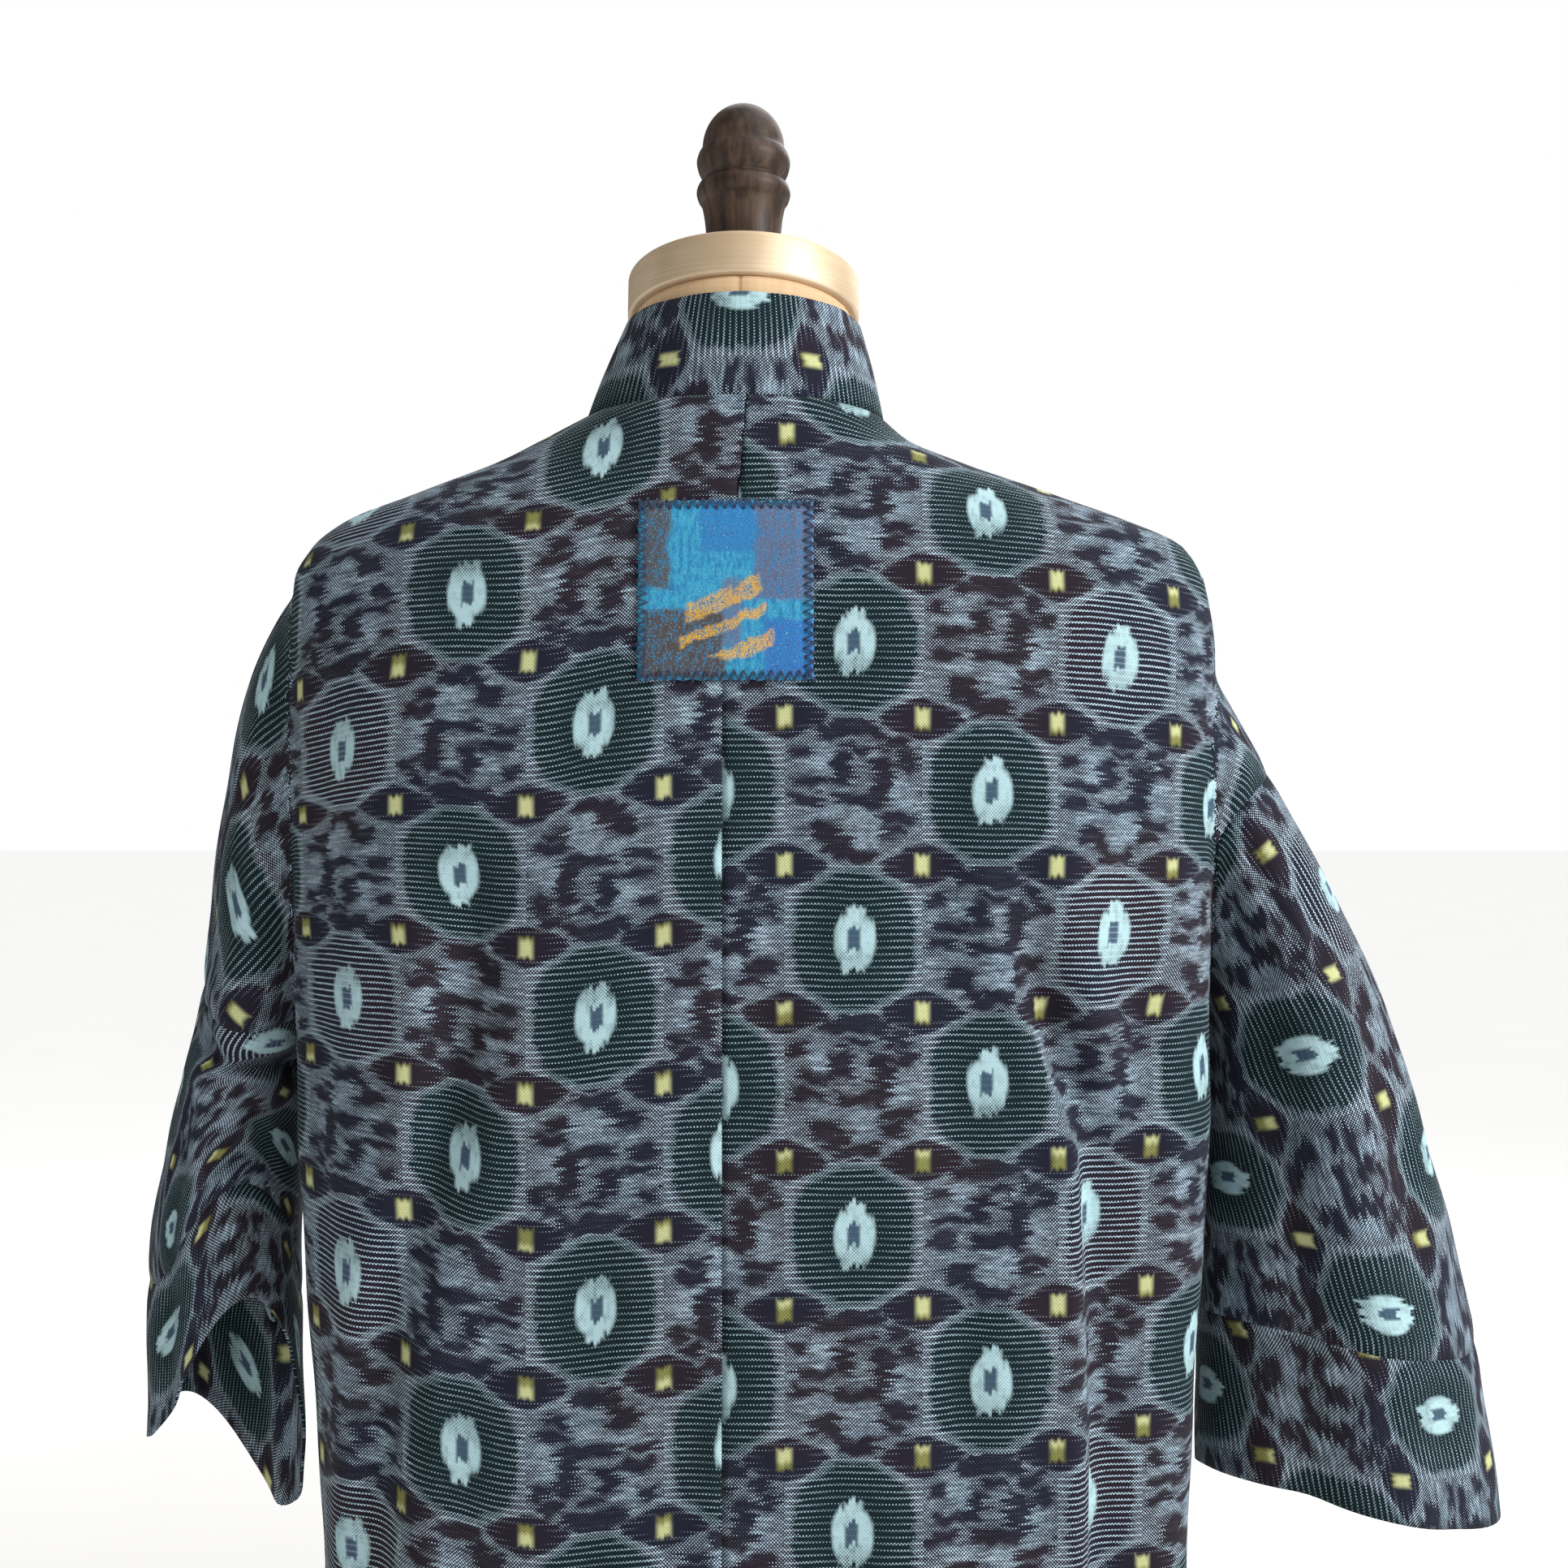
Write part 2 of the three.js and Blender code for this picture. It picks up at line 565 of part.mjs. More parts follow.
// The patch follows the back's surface, just clear of it.
function patch() {
  const columns = 9;
  const rows = 9;
  const surface = (u, v) => {
    const x = THREE.MathUtils.lerp(PATCH.right, PATCH.left, u);
    const z = THREE.MathUtils.lerp(PATCH.bottom, PATCH.top, v);
    return new THREE.Vector3(x, bodyFace(x, z, 1) - bodyFoldDepth(BACK_FOLDS, x, z), DATUM + z);
  };
  const point = (u, v, out) => {
    const step = 0.01;
    const across = surface(u + step, v).sub(surface(u - step, v));
    const up = surface(u, v + step).sub(surface(u, v - step));
    return surface(u, v).addScaledVector(up.cross(across).normalize(), out);
  };
  const points = [];
  for (const out of [SEAM_GAP, SEAM_GAP + PATCH_THICKNESS]) {
    for (let row = 0; row <= rows; row += 1) {
      for (let column = 0; column <= columns; column += 1) {
        points.push(point(column / columns, row / rows, out));
      }
    }
  }
  const triangles = [];
  const index = (layer, row, column) => (layer * (rows + 1) + row) * (columns + 1) + column;
  const quad = (a, b, c, d) => triangles.push([a, b, c], [a, c, d]);
  for (let row = 0; row < rows; row += 1) {
    for (let column = 0; column < columns; column += 1) {
      const corners = [[row, column], [row, column + 1], [row + 1, column + 1], [row + 1, column]];
      quad(...corners.map(([r, c]) => index(1, r, c)));
      quad(...corners.reverse().map(([r, c]) => index(0, r, c)));
    }
  }
  const rim = [];
  for (let column = 0; column < columns; column += 1) rim.push([0, column]);
  for (let row = 0; row < rows; row += 1) rim.push([row, columns]);
  for (let column = columns; column > 0; column -= 1) rim.push([rows, column]);
  for (let row = rows; row > 0; row -= 1) rim.push([row, 0]);
  rim.forEach(([row, column], i) => {
    const [nextRow, nextColumn] = rim[(i + 1) % rim.length];
    const low = index(0, row, column);
    const lowNext = index(0, nextRow, nextColumn);
    quad(low, lowNext, index(1, nextRow, nextColumn), index(1, row, column));
  });
  return solidFromTriangles(points, triangles);
}

// ---- Dress form ----

function formTorso() {
  const rings = FORM_SECTIONS.flatMap((row, i) => {
    const next = FORM_SECTIONS[i + 1];
    const levels = next && next.z - row.z > 60 ? [row.z, (row.z + next.z) / 2] : [row.z];
    return levels.map((z) => {
      const at = (column) => along(FORM_SECTIONS, 'z', column, z);
      const lean = smoothStep((z - NECK_FOOT) / (FORM_SECTIONS.at(-1).z - NECK_FOOT));
      return Array.from({ length: FORM_COLUMNS }, (_, column) => {
        const angle = (2 * Math.PI * column) / FORM_COLUMNS;
        const across = Math.cos(angle);
        const back = Math.sin(angle);
        const power = z > SHOULDER_START ? 2 : FORM_SQUARENESS;
        const reach = (Math.abs(across) ** power + Math.abs(back) ** power) ** (-1 / power);
        const y = back * reach * (back > 0 ? at('back') : at('front'));
        return new THREE.Vector3(across * reach * at('half'), y, DATUM + z + lean * y * Math.tan(CAP_TILT));
      });
    });
  });
  return solidFromRings(rings);
}

// Solid of revolution about +Z, with its profile as [radius, height] pairs from axis to axis.
function turned(profile, columns = ROUND_COLUMNS) {
  const geometry = new THREE.LatheGeometry(profile.map(([r, h]) => new THREE.Vector2(r, h)), columns);
  geometry.rotateX(Math.PI / 2);
  return solidFromGeometry(geometry);
}

function neckCap() {
  const rounding = [15, 45, 75].map((degrees) => THREE.MathUtils.degToRad(degrees));
  const core = CAP_RADIUS - CAP_ROUNDING;
  const lower = rounding.map((a) => [core + CAP_ROUNDING * Math.sin(a), CAP_ROUNDING * (1 - Math.cos(a))]);
  const upper = rounding.toReversed().map((a) => [
    core + CAP_ROUNDING * Math.sin(a),
    CAP_HEIGHT - CAP_ROUNDING * (1 - Math.cos(a)),
  ]);
  return turned([[0, 0], [core, 0], ...lower, ...upper, [core, CAP_HEIGHT], [0, CAP_HEIGHT]])
    .rotate([THREE.MathUtils.radToDeg(CAP_TILT), 0, 0])
    .translate([0, 0, DATUM + CAP_LEVEL]);
}

// The finial stands upright, its foot cut to the slope of the cap.
function finial() {
  const seat = DATUM + CAP_LEVEL + CAP_HEIGHT / Math.cos(CAP_TILT) + SEAM_GAP;
  const ring = (radius, height, slope) => Array.from({ length: ROUND_COLUMNS - 8 }, (_, column) => {
    const angle = (2 * Math.PI * column) / (ROUND_COLUMNS - 8);
    const y = radius * Math.sin(angle);
    return new THREE.Vector3(radius * Math.cos(angle), y, seat + height + slope * y * Math.tan(CAP_TILT));
  });
  const rings = FINIAL_PROFILE.map((row, i) => ring(row.radius, row.height, i === 0 ? 1 : 0));
  const foot = FINIAL_PROFILE.at(-1);
  for (const degrees of [18, 36, 54, 72, 84]) {
    const angle = THREE.MathUtils.degToRad(degrees);
    const height = foot.height + (FINIAL_TOP - foot.height) * Math.sin(angle);
    rings.push(ring(foot.radius * Math.cos(angle), height, 0));
  }
  return solidFromRings(rings);
}

function pole() {
  const top = DATUM + FORM_SECTIONS[0].z - SEAM_GAP;
  const bottom = BASE_HEIGHT + SEAM_GAP;
  return turned([[0, bottom], [POLE_RADIUS, bottom], [POLE_RADIUS, top], [0, top]], 24);
}

function base() {
  const slope = BASE_RADIUS - BASE_EDGE;
  return turned([
    [0, 0],
    [BASE_RADIUS, 0],
    [BASE_RADIUS, BASE_HEIGHT - BASE_EDGE],
    [BASE_RADIUS - BASE_EDGE / 3, BASE_HEIGHT - BASE_EDGE / 3],
    [slope, BASE_HEIGHT],
    [0, BASE_HEIGHT],
  ], 48);
}

// ---- Assembly ----

const group = new THREE.Group();
const cotton = { color: 0x2c2e42, roughness: 0.88, metalness: 0 };

function addPiece(name, solid, look) {
  const mesh = new THREE.Mesh(geometryFromSolid(solid), new THREE.MeshStandardMaterial(look));
  mesh.name = name;
  group.add(mesh);
}

const body = bodyRings();
const sleeves = [
  { name: 'left', plan: LEFT_SLEEVE, rings: sleeveRings(LEFT_SLEEVE, LEFT_SLEEVE_FOLDS) },
  { name: 'right', plan: RIGHT_SLEEVE, rings: sleeveRings(RIGHT_SLEEVE, RIGHT_SLEEVE_FOLDS) },
];

let outside = solidFromRings(body);
let hollow = bodyHollow(body);
for (const sleeve of sleeves) {
  outside = outside.add(solidFromRings(sleeve.rings));
  hollow = hollow.add(sleeveHollow(sleeve.rings));
}
const shell = outside.subtract(hollow).subtract(frontOpening());

let trunk = shell;
for (const { name, plan, rings } of sleeves) {
  const { seam, cuff } = plan;
  const hem = plan.rings.length - 1;
  const sleeveStretch = sleeveZone(rings, seam, cuff, 0.2, 0);
  const cuffStretch = sleeveZone(rings, cuff, hem, 0.2, 0);
  addPiece(`sleeve_${name}`, largestBody(shell.intersect(sleeveStretch)), cotton);
  addPiece(`cuff_${name}`, largestBody(shell.intersect(cuffStretch)), cotton);
  trunk = trunk.subtract(sleeveZone(rings, seam, hem, 0.2 + SEAM_GAP, SEAM_GAP));
}
addPiece('body_left', largestBody(trunk.intersect(seamSide(1))), cotton);
addPiece('body_right', largestBody(trunk.intersect(seamSide(-1))), cotton);
addPiece('neckband', neckband(), cotton);
addPiece('patch', patch(), { color: 0x2a6f9e, roughness: 0.9, metalness: 0 });
addPiece('form_torso', formTorso(), { color: 0xe1be91, roughness: 0.85, metalness: 0 });
addPiece('neck_cap', neckCap(), { color: 0xc8b49b, roughness: 0.35, metalness: 0.9 });
addPiece('finial', finial(), { color: 0x55483e, roughness: 0.4, metalness: 0 });
addPiece('pole', pole(), { color: 0xb9b6b0, roughness: 0.35, metalness: 0.9 });
addPiece('base', base(), { color: 0x8f8c88, roughness: 0.45, metalness: 0.8 });

export default group;
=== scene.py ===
"""Kasuri kimono jacket on a dress form: the cloth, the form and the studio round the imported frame.

Shapes are worked out in millimetres, +Z up and the back at +Y, and set into Blender in metres.
"""

import math

import bmesh
import bpy
import numpy as np
from mathutils import Matrix, Vector


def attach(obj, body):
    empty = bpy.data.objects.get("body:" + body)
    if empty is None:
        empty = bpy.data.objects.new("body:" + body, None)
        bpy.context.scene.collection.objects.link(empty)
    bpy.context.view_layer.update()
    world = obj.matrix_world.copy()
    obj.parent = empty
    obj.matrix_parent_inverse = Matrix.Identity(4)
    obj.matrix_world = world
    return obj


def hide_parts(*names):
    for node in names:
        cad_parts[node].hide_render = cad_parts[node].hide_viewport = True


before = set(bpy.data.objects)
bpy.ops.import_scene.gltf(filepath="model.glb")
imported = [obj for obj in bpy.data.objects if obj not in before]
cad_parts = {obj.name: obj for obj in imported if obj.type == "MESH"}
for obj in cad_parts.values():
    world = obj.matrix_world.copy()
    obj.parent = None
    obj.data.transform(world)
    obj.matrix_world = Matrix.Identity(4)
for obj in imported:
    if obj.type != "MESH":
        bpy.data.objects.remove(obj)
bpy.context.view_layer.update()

# ---- Sizes ----

MM = 0.001
DATUM = 1265  # level across the shoulder blades, which heights in the tables count from
CLOTH = 1.6
COLLAR_LEVEL = 177
HEM_LEVEL = -563
SHOULDER_START = 60
BAND_THICKNESS = 2.6
BAND_BACK_RADIUS = 58
BAND_BACK_TOP = 226
PATCH = {"left": 45, "right": -33, "bottom": 46, "top": 127}
PATCH_GAP = 0.3
PATCH_THICKNESS = 1.0
CENTRE_SEAM = {"top": -3, "bottom": 7.5, "bottom_level": 46}

CAP_RADIUS = 57
CAP_HEIGHT = 21
CAP_ROUNDING = 2
CAP_LEVEL = 227.2
CAP_TILT = math.radians(8.5)
POLE_RADIUS = 16
BASE_RADIUS = 210
BASE_HEIGHT = 22
BASE_EDGE = 7
SEAM_GAP = 0.3
FINIAL_TOP = 86.6

# The photograph's camera: its place in millimetres and its focal length in its own pixels.
PHOTO_SIZE = 1932
CAMERA_FOCAL = 2000
CAMERA_PLACE = (-20, 803, 1265)
SENSOR = 36
WORLD_LIGHT = 0.22
FLOOR_HALF = 30  # metres
FLOOR_GLOW = 0.5  # how brightly the distant floor glows, so that it fades into the white backdrop
CHEST = (0, 0, 1.2)


def table(columns, *rows):
    """A table of named columns, each an array down its rows."""
    return {name: np.array(values, float) for name, values in zip(columns, zip(*rows))}


def records(columns, *rows):
    """Rows as named values. A row may leave out its last ones."""
    return [dict(zip(columns, row)) for row in rows]


BODY = table(
    ("z", "left", "right", "back", "front", "power"),
    (-563, 203, 212, 92, 128, 2.8),
    (-347, 207, 216, 88, 130, 2.8),
    (-150, 217, 227, 86, 132, 2.8),
    (0, 218, 228, 85, 135, 2.8),
    (60, 219, 230, 82, 125, 2.7),
    (97, 220, 226, 79, 112, 2.4),
    (115, 212, 217, 77, 105, 2.1),
    (128, 196, 190, 73, 99, 2),
    (140, 165, 155, 70, 90, 2),
    (155, 124, 110, 68, 78, 2),
    (165, 103, 85, 67, 68, 2),
    (177, 78, 70, 66, 55, 2),
)
RING = ("number", "outer_x", "outer_z", "inner_x", "inner_z", "middle", "depth", "rise", "twist")
RIGHT_SLEEVE = {
    "side": -1,
    "seam": 2,
    "cuff": 6,
    "rings": table(
        RING,
        (0, 205, 115, 150, 60, -20, 58, 0, 0),
        (1, 236, 53, 180, 0, -25, 60, 4, 0),
        (2, 263, 5, 205, -50, -28, 61, 8, 0),
        (3, 307, -79, 230, -100, -28, 62, 6, 0),
        (4, 330, -130, 234, -150, -28, 62, 4, 0),
        (5, 352, -205, 234, -208, -28, 62, 2, -2),
        (6, 369, -278, 233, -268, -28, 62, 2, -4),
        (7, 382, -362, 231, -346, -28, 61, 4, -5),
    ),
}
LEFT_SLEEVE = {
    "side": 1,
    "seam": 4,
    "cuff": 7,
    "rings": table(
        RING,
        (0, 205, 122, 150, 70, -20, 55, 0, 0),
        (1, 226, 96, 168, 35, -24, 56, 0, 0),
        (2, 248, 56, 186, 0, -26, 56, -6, 0),
        (3, 261, 1, 202, -45, -27, 55, -14, 0),
        (4, 272, -92, 215, -105, -27, 54, -20, 0),
        (5, 282, -135, 223, -150, -27, 53, -4, -4),
        (6, 293, -185, 228, -190, -27, 49, 14, -12),
        (7, 301, -245, 229, -240, -27, 45, 30, -22),
        (8, 302, -322, 226, -316, -27, 42, 45, -30),
    ),
}

# Folds of the body: (across, level) points from top to bottom, how deep it is sunk (a ridge is
# negative), its width, the length over which it starts, the length over which it ends where it
# stops short of the hem, and its width on the side towards the left where that differs.
FOLD = ("line", "depth", "width", "start", "end", "left_width")
BACK_FOLDS = records(
    FOLD,
    (((115, -12), (131, -134), (158, -227), (171, -346), (174, -563)), 9, 15, 70),
    (((-113, -40), (-142, -115), (-162, -175), (-168, -346), (-168, -563)), 14, 14, 80, None, 8),
    (((-179, 60), (-176, -41), (-186, -130), (-192, -563)), 3.5, 14, 60),
    (((-86, 60), (-88, -30), (-96, -150), (-108, -563)), 3, 13, 80),
    (((188, 70), (196, -10), (202, -563)), 4, 12, 60),
    (((66, -120), (70, -563)), 3, 20, 160),
)
FRONT_FOLDS = records(
    FOLD,
    (((150, 40), (138, -150), (128, -563)), 8, 17, 110),
    (((186, 20), (182, -200), (176, -563)), 6, 14, 90),
    (((-146, 30), (-136, -160), (-140, -563)), 9, 17, 110),
    (((-190, 10), (-186, -200), (-184, -563)), 6, 14, 90),
    (((106, -90), (100, -563)), 4, 15, 150),
    (((-104, -60), (-98, -563)), 4, 15, 150),
)
BACK_CREASES = records(
    FOLD,
    (((66, 122), (66, 35)), 0.7, 3.5, 12, 20),
    (((-38, 122), (-38, 35)), 0.7, 3.5, 12, 20),
    (((147, -60), (150, -150), (176, -250), (188, -420)), -3.5, 10, 60, 90),
    (((98, -60), (106, -150), (134, -260), (150, -420)), -2.5, 11, 60, 90),
    (((-100, -10), (-124, -95), (-147, -170), (-152, -400)), -3, 8, 50, 90),
    (((-132, 20), (-158, -100), (-186, -180), (-190, -420)), -2, 9, 60, 90),
    (((30, -170), (24, -563)), 2, 14, 120),
    (((-40, -200), (-52, -563)), 2.5, 16, 120),
    (((120, -300), (122, -563)), 2.5, 12, 100),
    (((-130, -330), (-128, -563)), 2.5, 11, 90),
    (((-178, -60), (-183, -150), (-187, -563)), 8, 17, 100),
)
FRONT_CREASES = records(
    FOLD,
    (((168, 30), (160, -110), (150, -320)), -2.5, 10, 60, 110),
    (((-168, 40), (-162, -120), (-158, -330)), -2.5, 10, 60, 110),
    (((122, 10), (116, -180)), 2, 9, 60, 80),
    (((-122, 20), (-118, -160)), 2, 9, 60, 80),
)

# Folds of the sleeves: ring number and angle (outer edge 0, back 90) of both ends, depth and width.
SLEEVE_FOLD = ("from_ring", "from_angle", "to_ring", "to_angle", "depth", "width")
LEFT_SLEEVE_FOLDS = records(
    SLEEVE_FOLD,
    (4.35, 50, 4.75, 165, 8, 11),
    (5.4, 70, 8, 60, 4, 12),
    (4.6, 250, 8, 240, 5, 14),
    (1.5, 95, 3.6, 60, 3, 12),
    (2.2, 70, 4.0, 30, 1.6, 7),
    (5.0, 110, 6.6, 150, 2.2, 8),
    (4.9, 20, 6.2, 75, 1.6, 8),
    (6.4, 100, 7.6, 96, 1.5, 8),
)
RIGHT_SLEEVE_FOLDS = records(
    SLEEVE_FOLD,
    (2.3, 125, 7, 118, 5, 13),
    (3.2, 62, 7, 58, 3.5, 14),
    (2.4, 240, 7, 245, 5, 14),
    (3.4, 300, 7, 300, 3.5, 14),
    (2.1, 92, 3.4, 100, 2.2, 7),
    (2.1, 60, 3.0, 78, 1.8, 7),
    (4.4, 90, 6.6, 86, -1.8, 11),
)

FRONT_EDGE = table(
    ("z", "left", "right"),
    (-563, 66, 66),
    (-60, 76, 76),
    (30, 80, 80),
    (120, 85, 84),
    (165, 82, 76),
    (177, 78, 70),
)
BAND_EDGE = table(
    ("z", "x", "y", "free"),
    (-563, 16, -133, -563),
    (-62, 26, -139, -60),
    (40, 33, -131, 48),
    (125, 45, -88, 150),
    (165, 54, -40, 205),
    (177, 57, 2, 223),
)
FORM = table(
    ("z", "half", "back", "front"),
    (-665, 160, 76, 86),
    (-652, 169, 83, 93),
    (-560, 172, 83, 95),
    (-440, 150, 66, 86),
    (-330, 125, 52, 78),
    (-240, 128, 56, 84),
    (-150, 140, 66, 97),
    (-60, 160, 75, 122),
    (0, 174, 78, 114),
    (60, 188, 76, 98),
    (97, 193, 75, 98),
    (115, 190, 73.5, 98),
    (128, 180, 70, 95),
    (140, 147, 67, 86),
    (155, 102.5, 65, 74),
    (165, 79, 64, 63),
    (177, 64, 62, 51),
    (187, 56.5, 57, 51),
    (200, 54, 54.5, 53),
    (226.7, 53.5, 53.5, 53.5),
)
FORM_SQUARENESS = 2.1
NECK_FOOT = 190
FINIAL = table(
    ("height", "radius"),
    (0, 17),
    (12, 17.8),
    (27, 18.9),
    (36.6, 20.6),
    (39.4, 22.3),
    (43, 23.2),
    (46.4, 22.2),
    (48.2, 20.2),
    (48.9, 19.6),
    (50.1, 20.4),
    (54, 22.3),
    (58.2, 23.1),
    (62, 22.1),
    (64, 20.9),
    (64.9, 20.3),
)

# How finely the cloth is meshed.
BODY_COLUMNS = 312
BODY_LEVELS = 150
SHOULDER_LEVELS = 42
SLEEVE_COLUMNS = 88
SLEEVE_STEPS = 14
BAND_FRONT_STEPS = 110
BAND_BACK_STEPS = 60
BAND_ACROSS = 12
VALLEY = 17  # reach of the rounding where a sleeve leaves the body
VALLEY_PASSES = 30
VALLEY_SHARE = 0.6  # how far a point moves towards its neighbours' mean in one pass
SEAM_SINK = 1.1  # how deep the cloth dips into a seam

# The kasuri repeat, and how each length of cloth is laid: "u" runs along the weft from the centre
# back, "v" along the warp, and an added shift places the repeat.
REPEAT_U = 61.5
REPEAT_V = 65.5
STRIPE_PITCH = 2.8
LEFT_LAY = {"mirror": 1, "turned": -1, "u": 5, "v": 0}
RIGHT_LAY = {"mirror": -1, "turned": 1, "u": 3, "v": 36}
LEFT_STUB_LAY = {"turn": 36, "u": 214, "v": 176}
RIGHT_STUB_LAY = {"turn": 30, "u": -214, "v": 176}
LEFT_SLEEVE_LAY = {"turn": 24, "u": 20, "v": 10}
RIGHT_SLEEVE_LAY = {"turn": 4, "u": 12, "v": 18}
LEFT_CUFF_LAY = {"turn": 8, "u": 33, "v": 22}
RIGHT_CUFF_LAY = {"turn": 6, "u": 44, "v": 40}
TURN_SPREAD = 60  # distance from a sleeve's outer edge over which its cloth turns

# What a face of the joined surface belongs to: the body, a sleeve's dropped part above its seam,
# the sleeve below it, or an open end that is cut away.
KINDS = BODY_FACE, STUB_FACE, SLEEVE_FACE, CUT_FACE = range(4)


# ---- Curves ----

def along(rows, key, column, place):
    """Value of a table's column along its key column, on a curve that never overshoots a row."""
    keys, values = rows[key], rows[column]
    at = np.clip(place, keys[0], keys[-1])
    i = np.clip(np.searchsorted(keys, at, side="left") - 1, 0, len(keys) - 2)
    slope = np.diff(values) / np.diff(keys)
    product = slope[:-1] * slope[1:]
    total = np.where(product > 0, slope[:-1] + slope[1:], 1)
    inner = np.where(product > 0, 2 * product / total, 0)
    tangent = np.concatenate([slope[:1], inner, slope[-1:]])
    span = keys[i + 1] - keys[i]
    t = (at - keys[i]) / span
    bend = t * t * (3 - 2 * t)
    start = t * (1 - t) ** 2 * span * tangent[i]
    end = t * t * (t - 1) * span * tangent[i + 1]
    return values[i] * (1 - bend) + values[i + 1] * bend + start + end


def smooth(t):
    t = np.clip(t, 0, 1)
    return t * t * (3 - 2 * t)


def arc_lengths(points):
    """Distance along each row of points, from its first point."""
    steps = np.linalg.norm(np.diff(points, axis=1), axis=2)
    return np.concatenate([np.zeros((len(points), 1)), np.cumsum(steps, axis=1)], axis=1)


def outward_normals(points):
    """Unit vectors out of a closed surface of rings."""
    last = len(points) - 1
    rows = np.arange(last + 1)
    around = np.roll(points, -1, axis=1) - np.roll(points, 1, axis=1)
    up = points[np.minimum(rows + 1, last)] - points[np.maximum(rows - 1, 0)]
    normals = np.cross(around, up)
    normals /= np.linalg.norm(normals, axis=2, keepdims=True)
    away = points - points.mean(axis=1, keepdims=True)
    facing = np.sum(normals * away, axis=2, keepdims=True)
    return np.where(facing < 0, -normals, normals)


# ---- Body of the jacket ----

def body_fold_depth(folds, x, z):
    """How deep the folds sink one face of the body."""
    depth = np.zeros_like(x)
    for fold in folds:
        line = table(("level", "across"), *((-level, across) for across, level in fold["line"]))
        top, bottom = fold["line"][0][1], fold["line"][-1][1]
        middle = along(line, "level", "across", -z)
        lean = middle - along(line, "level", "across", 1 - z)
        distance = (x - middle) / np.hypot(1, lean)
        width = np.where(distance > 0, fold.get("left_width", fold["width"]), fold["width"])
        strength = smooth((top - z) / fold["start"])
        if fold.get("end"):
            strength = strength * smooth((z - bottom) / fold["end"])
        depth += fold["depth"] * strength * np.exp(-((distance / width) ** 2))
    return depth


def ripple(x, z):
    """Slight waviness of worn cotton, less where the cloth lies on the shoulders."""
    waves = ((0.061, 0.013, 0.4), (0.113, 0.021, 1.9), (-0.047, 0.034, 3.1), (0.017, 0.079, 5.2))
    total = sum(np.sin(a * x + b * z + phase) for a, b, phase in waves)
    return 0.35 * total * (0.25 + 0.75 * smooth((40 - z) / 160))


def body_surface(z, angle):
    """Outer points of the body without folds: angle 0 is its left side, a right angle its back."""
    across, back = np.cos(angle), np.sin(angle)
    power = along(BODY, "z", "power", z)
    reach = (np.abs(across) ** power + np.abs(back) ** power) ** (-1 / power)
    half = np.where(across > 0, along(BODY, "z", "left", z), along(BODY, "z", "right", z))
    depth = np.where(back > 0, along(BODY, "z", "back", z), along(BODY, "z", "front", z))
    return np.stack([across * reach * half, back * reach * depth, DATUM + z + 0 * across], axis=-1)


def body_face(x, z, face):
    """Depth of the body's back (+1) or front (-1) face, without folds."""
    half = np.where(x > 0, along(BODY, "z", "left", z), along(BODY, "z", "right", z))
    depth = along(BODY, "z", "back" if face > 0 else "front", z)
    power = along(BODY, "z", "power", z)
    return face * depth * np.maximum(0, 1 - (np.abs(x) / half) ** power) ** (1 / power)


def folded_back(x, z):
    """Depth of the body's back face with its folds."""
    depth = body_fold_depth(BACK_FOLDS, x, z) + body_fold_depth(BACK_CREASES, x, z)
    return body_face(x, z, 1) - depth + ripple(x, z)


def centre_seam(z):
    share = np.clip((z - CENTRE_SEAM["bottom_level"]) / (COLLAR_LEVEL - CENTRE_SEAM["bottom_level"]), 0, 1)
    return CENTRE_SEAM["bottom"] + (CENTRE_SEAM["top"] - CENTRE_SEAM["bottom"]) * share


def shoulder_arc(x, z, face):
    """Length of cloth from the start of the shoulder up to a level, straight up one face."""
    share = np.linspace(0, 1, 32).reshape(-1, *([1] * x.ndim))
    levels = SHOULDER_START + (z - SHOULDER_START) * (1 - (1 - share) ** 2)
    depths = body_face(np.broadcast_to(x, levels.shape), levels, face)
    return np.hypot(np.diff(levels, axis=0), np.diff(depths, axis=0)).sum(axis=0)


def ridge_level(x):
    """Level of the shoulder's top line."""
    levels = np.linspace(97, COLLAR_LEVEL, 200)
    heights = []
    for column, place in (("left", x), ("right", -x)):
        half = along(BODY, "z", column, levels)
        heights.append(np.interp(place, half[::-1], levels[::-1]))
    return np.where(x > 0, heights[0], heights[1])


def droop(x, z):
    """How far the rows of the pattern hang below level, more on the left and towards the sides."""
    left = 7 * np.exp(-(((x - 95) / 42) ** 2)) + 24 * (np.abs(x) / 218) ** 2.2 * smooth((z + 90) / 120)
    left = left - 14 * (np.abs(x) / 218) ** 3 * smooth((-90 - z) / 80)
    right = 9 * (np.abs(x) / 218) ** 3 * smooth((z + 90) / 120)
    return np.where(x > 0, left, right)


